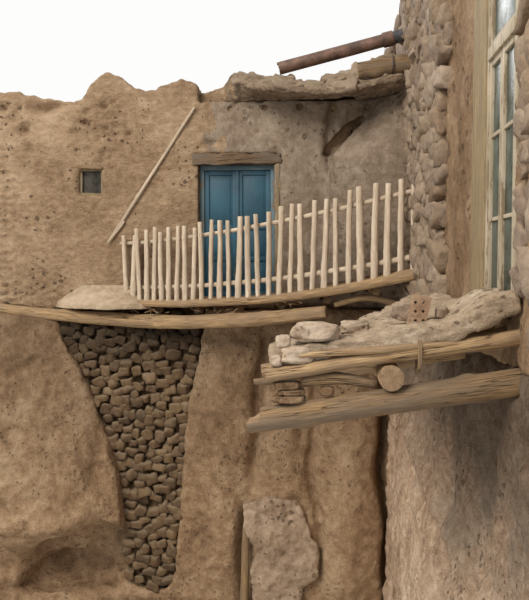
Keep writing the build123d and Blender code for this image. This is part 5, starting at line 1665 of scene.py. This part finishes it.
def loose_stones(name, boxes, replaced, material, rough):
    """Rough stones, each filling its own box."""
    shape = bmesh.new()
    for number, (low, high) in enumerate(boxes):
        low, high = Vector(low), Vector(high)
        made = bmesh.ops.create_icosphere(shape, subdivisions=4, radius=1)
        middle, size = (low + high) / 2, (high - low) / 2
        for vert in made["verts"]:
            co = vert.co.copy()
            square = Vector([math.copysign(abs(a) ** squareness, a) for a in co])
            lump = noise.noise(co * 1.6 + Vector((number * 9, 3, 1)))
            lump += 0.4 * noise.noise(co * 4.5 + Vector((number, 7, 2)))
            co = square * (0.9 + rough * lump)
            vert.co = middle + Vector([a * b for a, b in zip(co, size)])
    for face in shape.faces:
        face.smooth = True
    mesh = meshed(shape, name)
    values = mesh.attributes.new("tone", "FLOAT", "POINT")
    values.data.foreach_set("value", [middle_tone] * len(mesh.vertices))
    piece(name, mesh, "rubble", material, replaced=replaced)


loose_stones("ledge_loose_stones", [((-0.02, -4.27, 3.985), (0.28, -4.0, 4.105)),
                                    ((-0.08, -4.29, 3.86), (0.12, -4.12, 3.97)),
                                    ((-0.11, -4.24, 3.95), (-0.01, -4.14, 4.035)),
                                    ((-0.135, -4.27, 3.85), (-0.06, -4.2, 3.92)),
                                    ((0.26, -4.0, 4.0), (0.46, -3.75, 4.09))],
             ["ledge_stones"], pale_tuff, 0.2)
loose_stones("ledge_brick_stones", [((0.58, -3.98, 4.09), (0.8, -3.86, 4.22)),
                                    ((0.84, -4.0, 4.1), (0.92, -3.9, 4.19))], [], rubble, 0.2)
loose_stones("ledge_flat_stones", [((-0.13, -4.29, 3.635), (0.08, -4.12, 3.69)),
                                   ((-0.10, -4.275, 3.68), (0.07, -4.12, 3.725)),
                                   ((-0.125, -4.285, 3.715), (0.05, -4.12, 3.765)),
                                   ((0.14, -4.26, 3.68), (0.24, -4.16, 3.735))],
             ["ledge_packing"], layered_stone, 0.16)
short_poles = [([(0.05, -4.2, 3.762), (0.26, -4.2, 3.78), (0.475, -4.19, 3.75)],
                [0.032, 0.036, 0.028]),
               ([(-0.23, -4.21, 3.757), (-0.12, -4.2, 3.768), (0.02, -4.2, 3.778)],
                [0.017, 0.022, 0.023])]
timber("ledge_short_pole", short_poles, "timber", ["ledge_packing"], ledge_log, log_end, step=0.03,
       sides=18, wander=0.006)

# %% [markdown]
# A plain pale floor and soft light, as in a studio. The sky is a dim even white
# for the shadows, a wide soft lamp stands for the bright side of the overcast sky,
# and the background shows white only to the camera's own rays and to glossy and
# transmitted ones.

# %% Floor and light
ground = bmesh.new()
bmesh.ops.create_grid(ground, x_segments=1, y_segments=1, size=60)
floor_mesh = meshed(ground, "floor")
floor = placed("floor", floor_mesh)
pale_floor, tree, shader = start_material("pale_studio_floor", 0.9)
shader.inputs["Base Color"].default_value = linear("D8D5D0")
floor_mesh.materials.append(pale_floor)

world = bpy.data.worlds.new("studio")
bpy.context.scene.world = world
world.use_nodes = True
tree = world.node_tree
tree.nodes.clear()
ray = add(tree, "ShaderNodeLightPath")
shown = add(tree, "ShaderNodeMath", {
    0: ray.outputs["Is Camera Ray"], 1: ray.outputs["Is Glossy Ray"]}, "MAXIMUM")
shown = add(tree, "ShaderNodeMath", {0: shown, 1: ray.outputs["Is Transmission Ray"]}, "MAXIMUM")
dim = add(tree, "ShaderNodeBackground", {"Color": linear("EEF1F4"), "Strength": 0.62})
white = add(tree, "ShaderNodeBackground", {"Color": linear("FDFDFC"), "Strength": 1.0})
both = add(tree, "ShaderNodeMixShader", {0: shown, 1: dim, 2: white})
add(tree, "ShaderNodeOutputWorld", {"Surface": both})

for name, place, aim, size, power, hue in (
        ("high_left", (-7, -11, 13), (-1, 0, 4), 7.0, 1900, "FFF6EA"),
        ("right_fill", (9, -12, 9), (0, 0, 4), 7.0, 500, "F2F6FF"),
        ("behind", (-4, 14, 12), (0, 0, 5), 8.0, 900, "FFFFFF")):
    lamp = bpy.data.lights.new(name, "AREA")
    lamp.size = size
    lamp.energy = power
    lamp.color = linear(hue)[:3]
    stand = placed(name, lamp)
    stand.location = place
    stand.rotation_euler = (Vector(aim) - Vector(place)).to_track_quat("-Z", "Y").to_euler()
bpy.context.scene.view_settings.view_transform = "Standard"
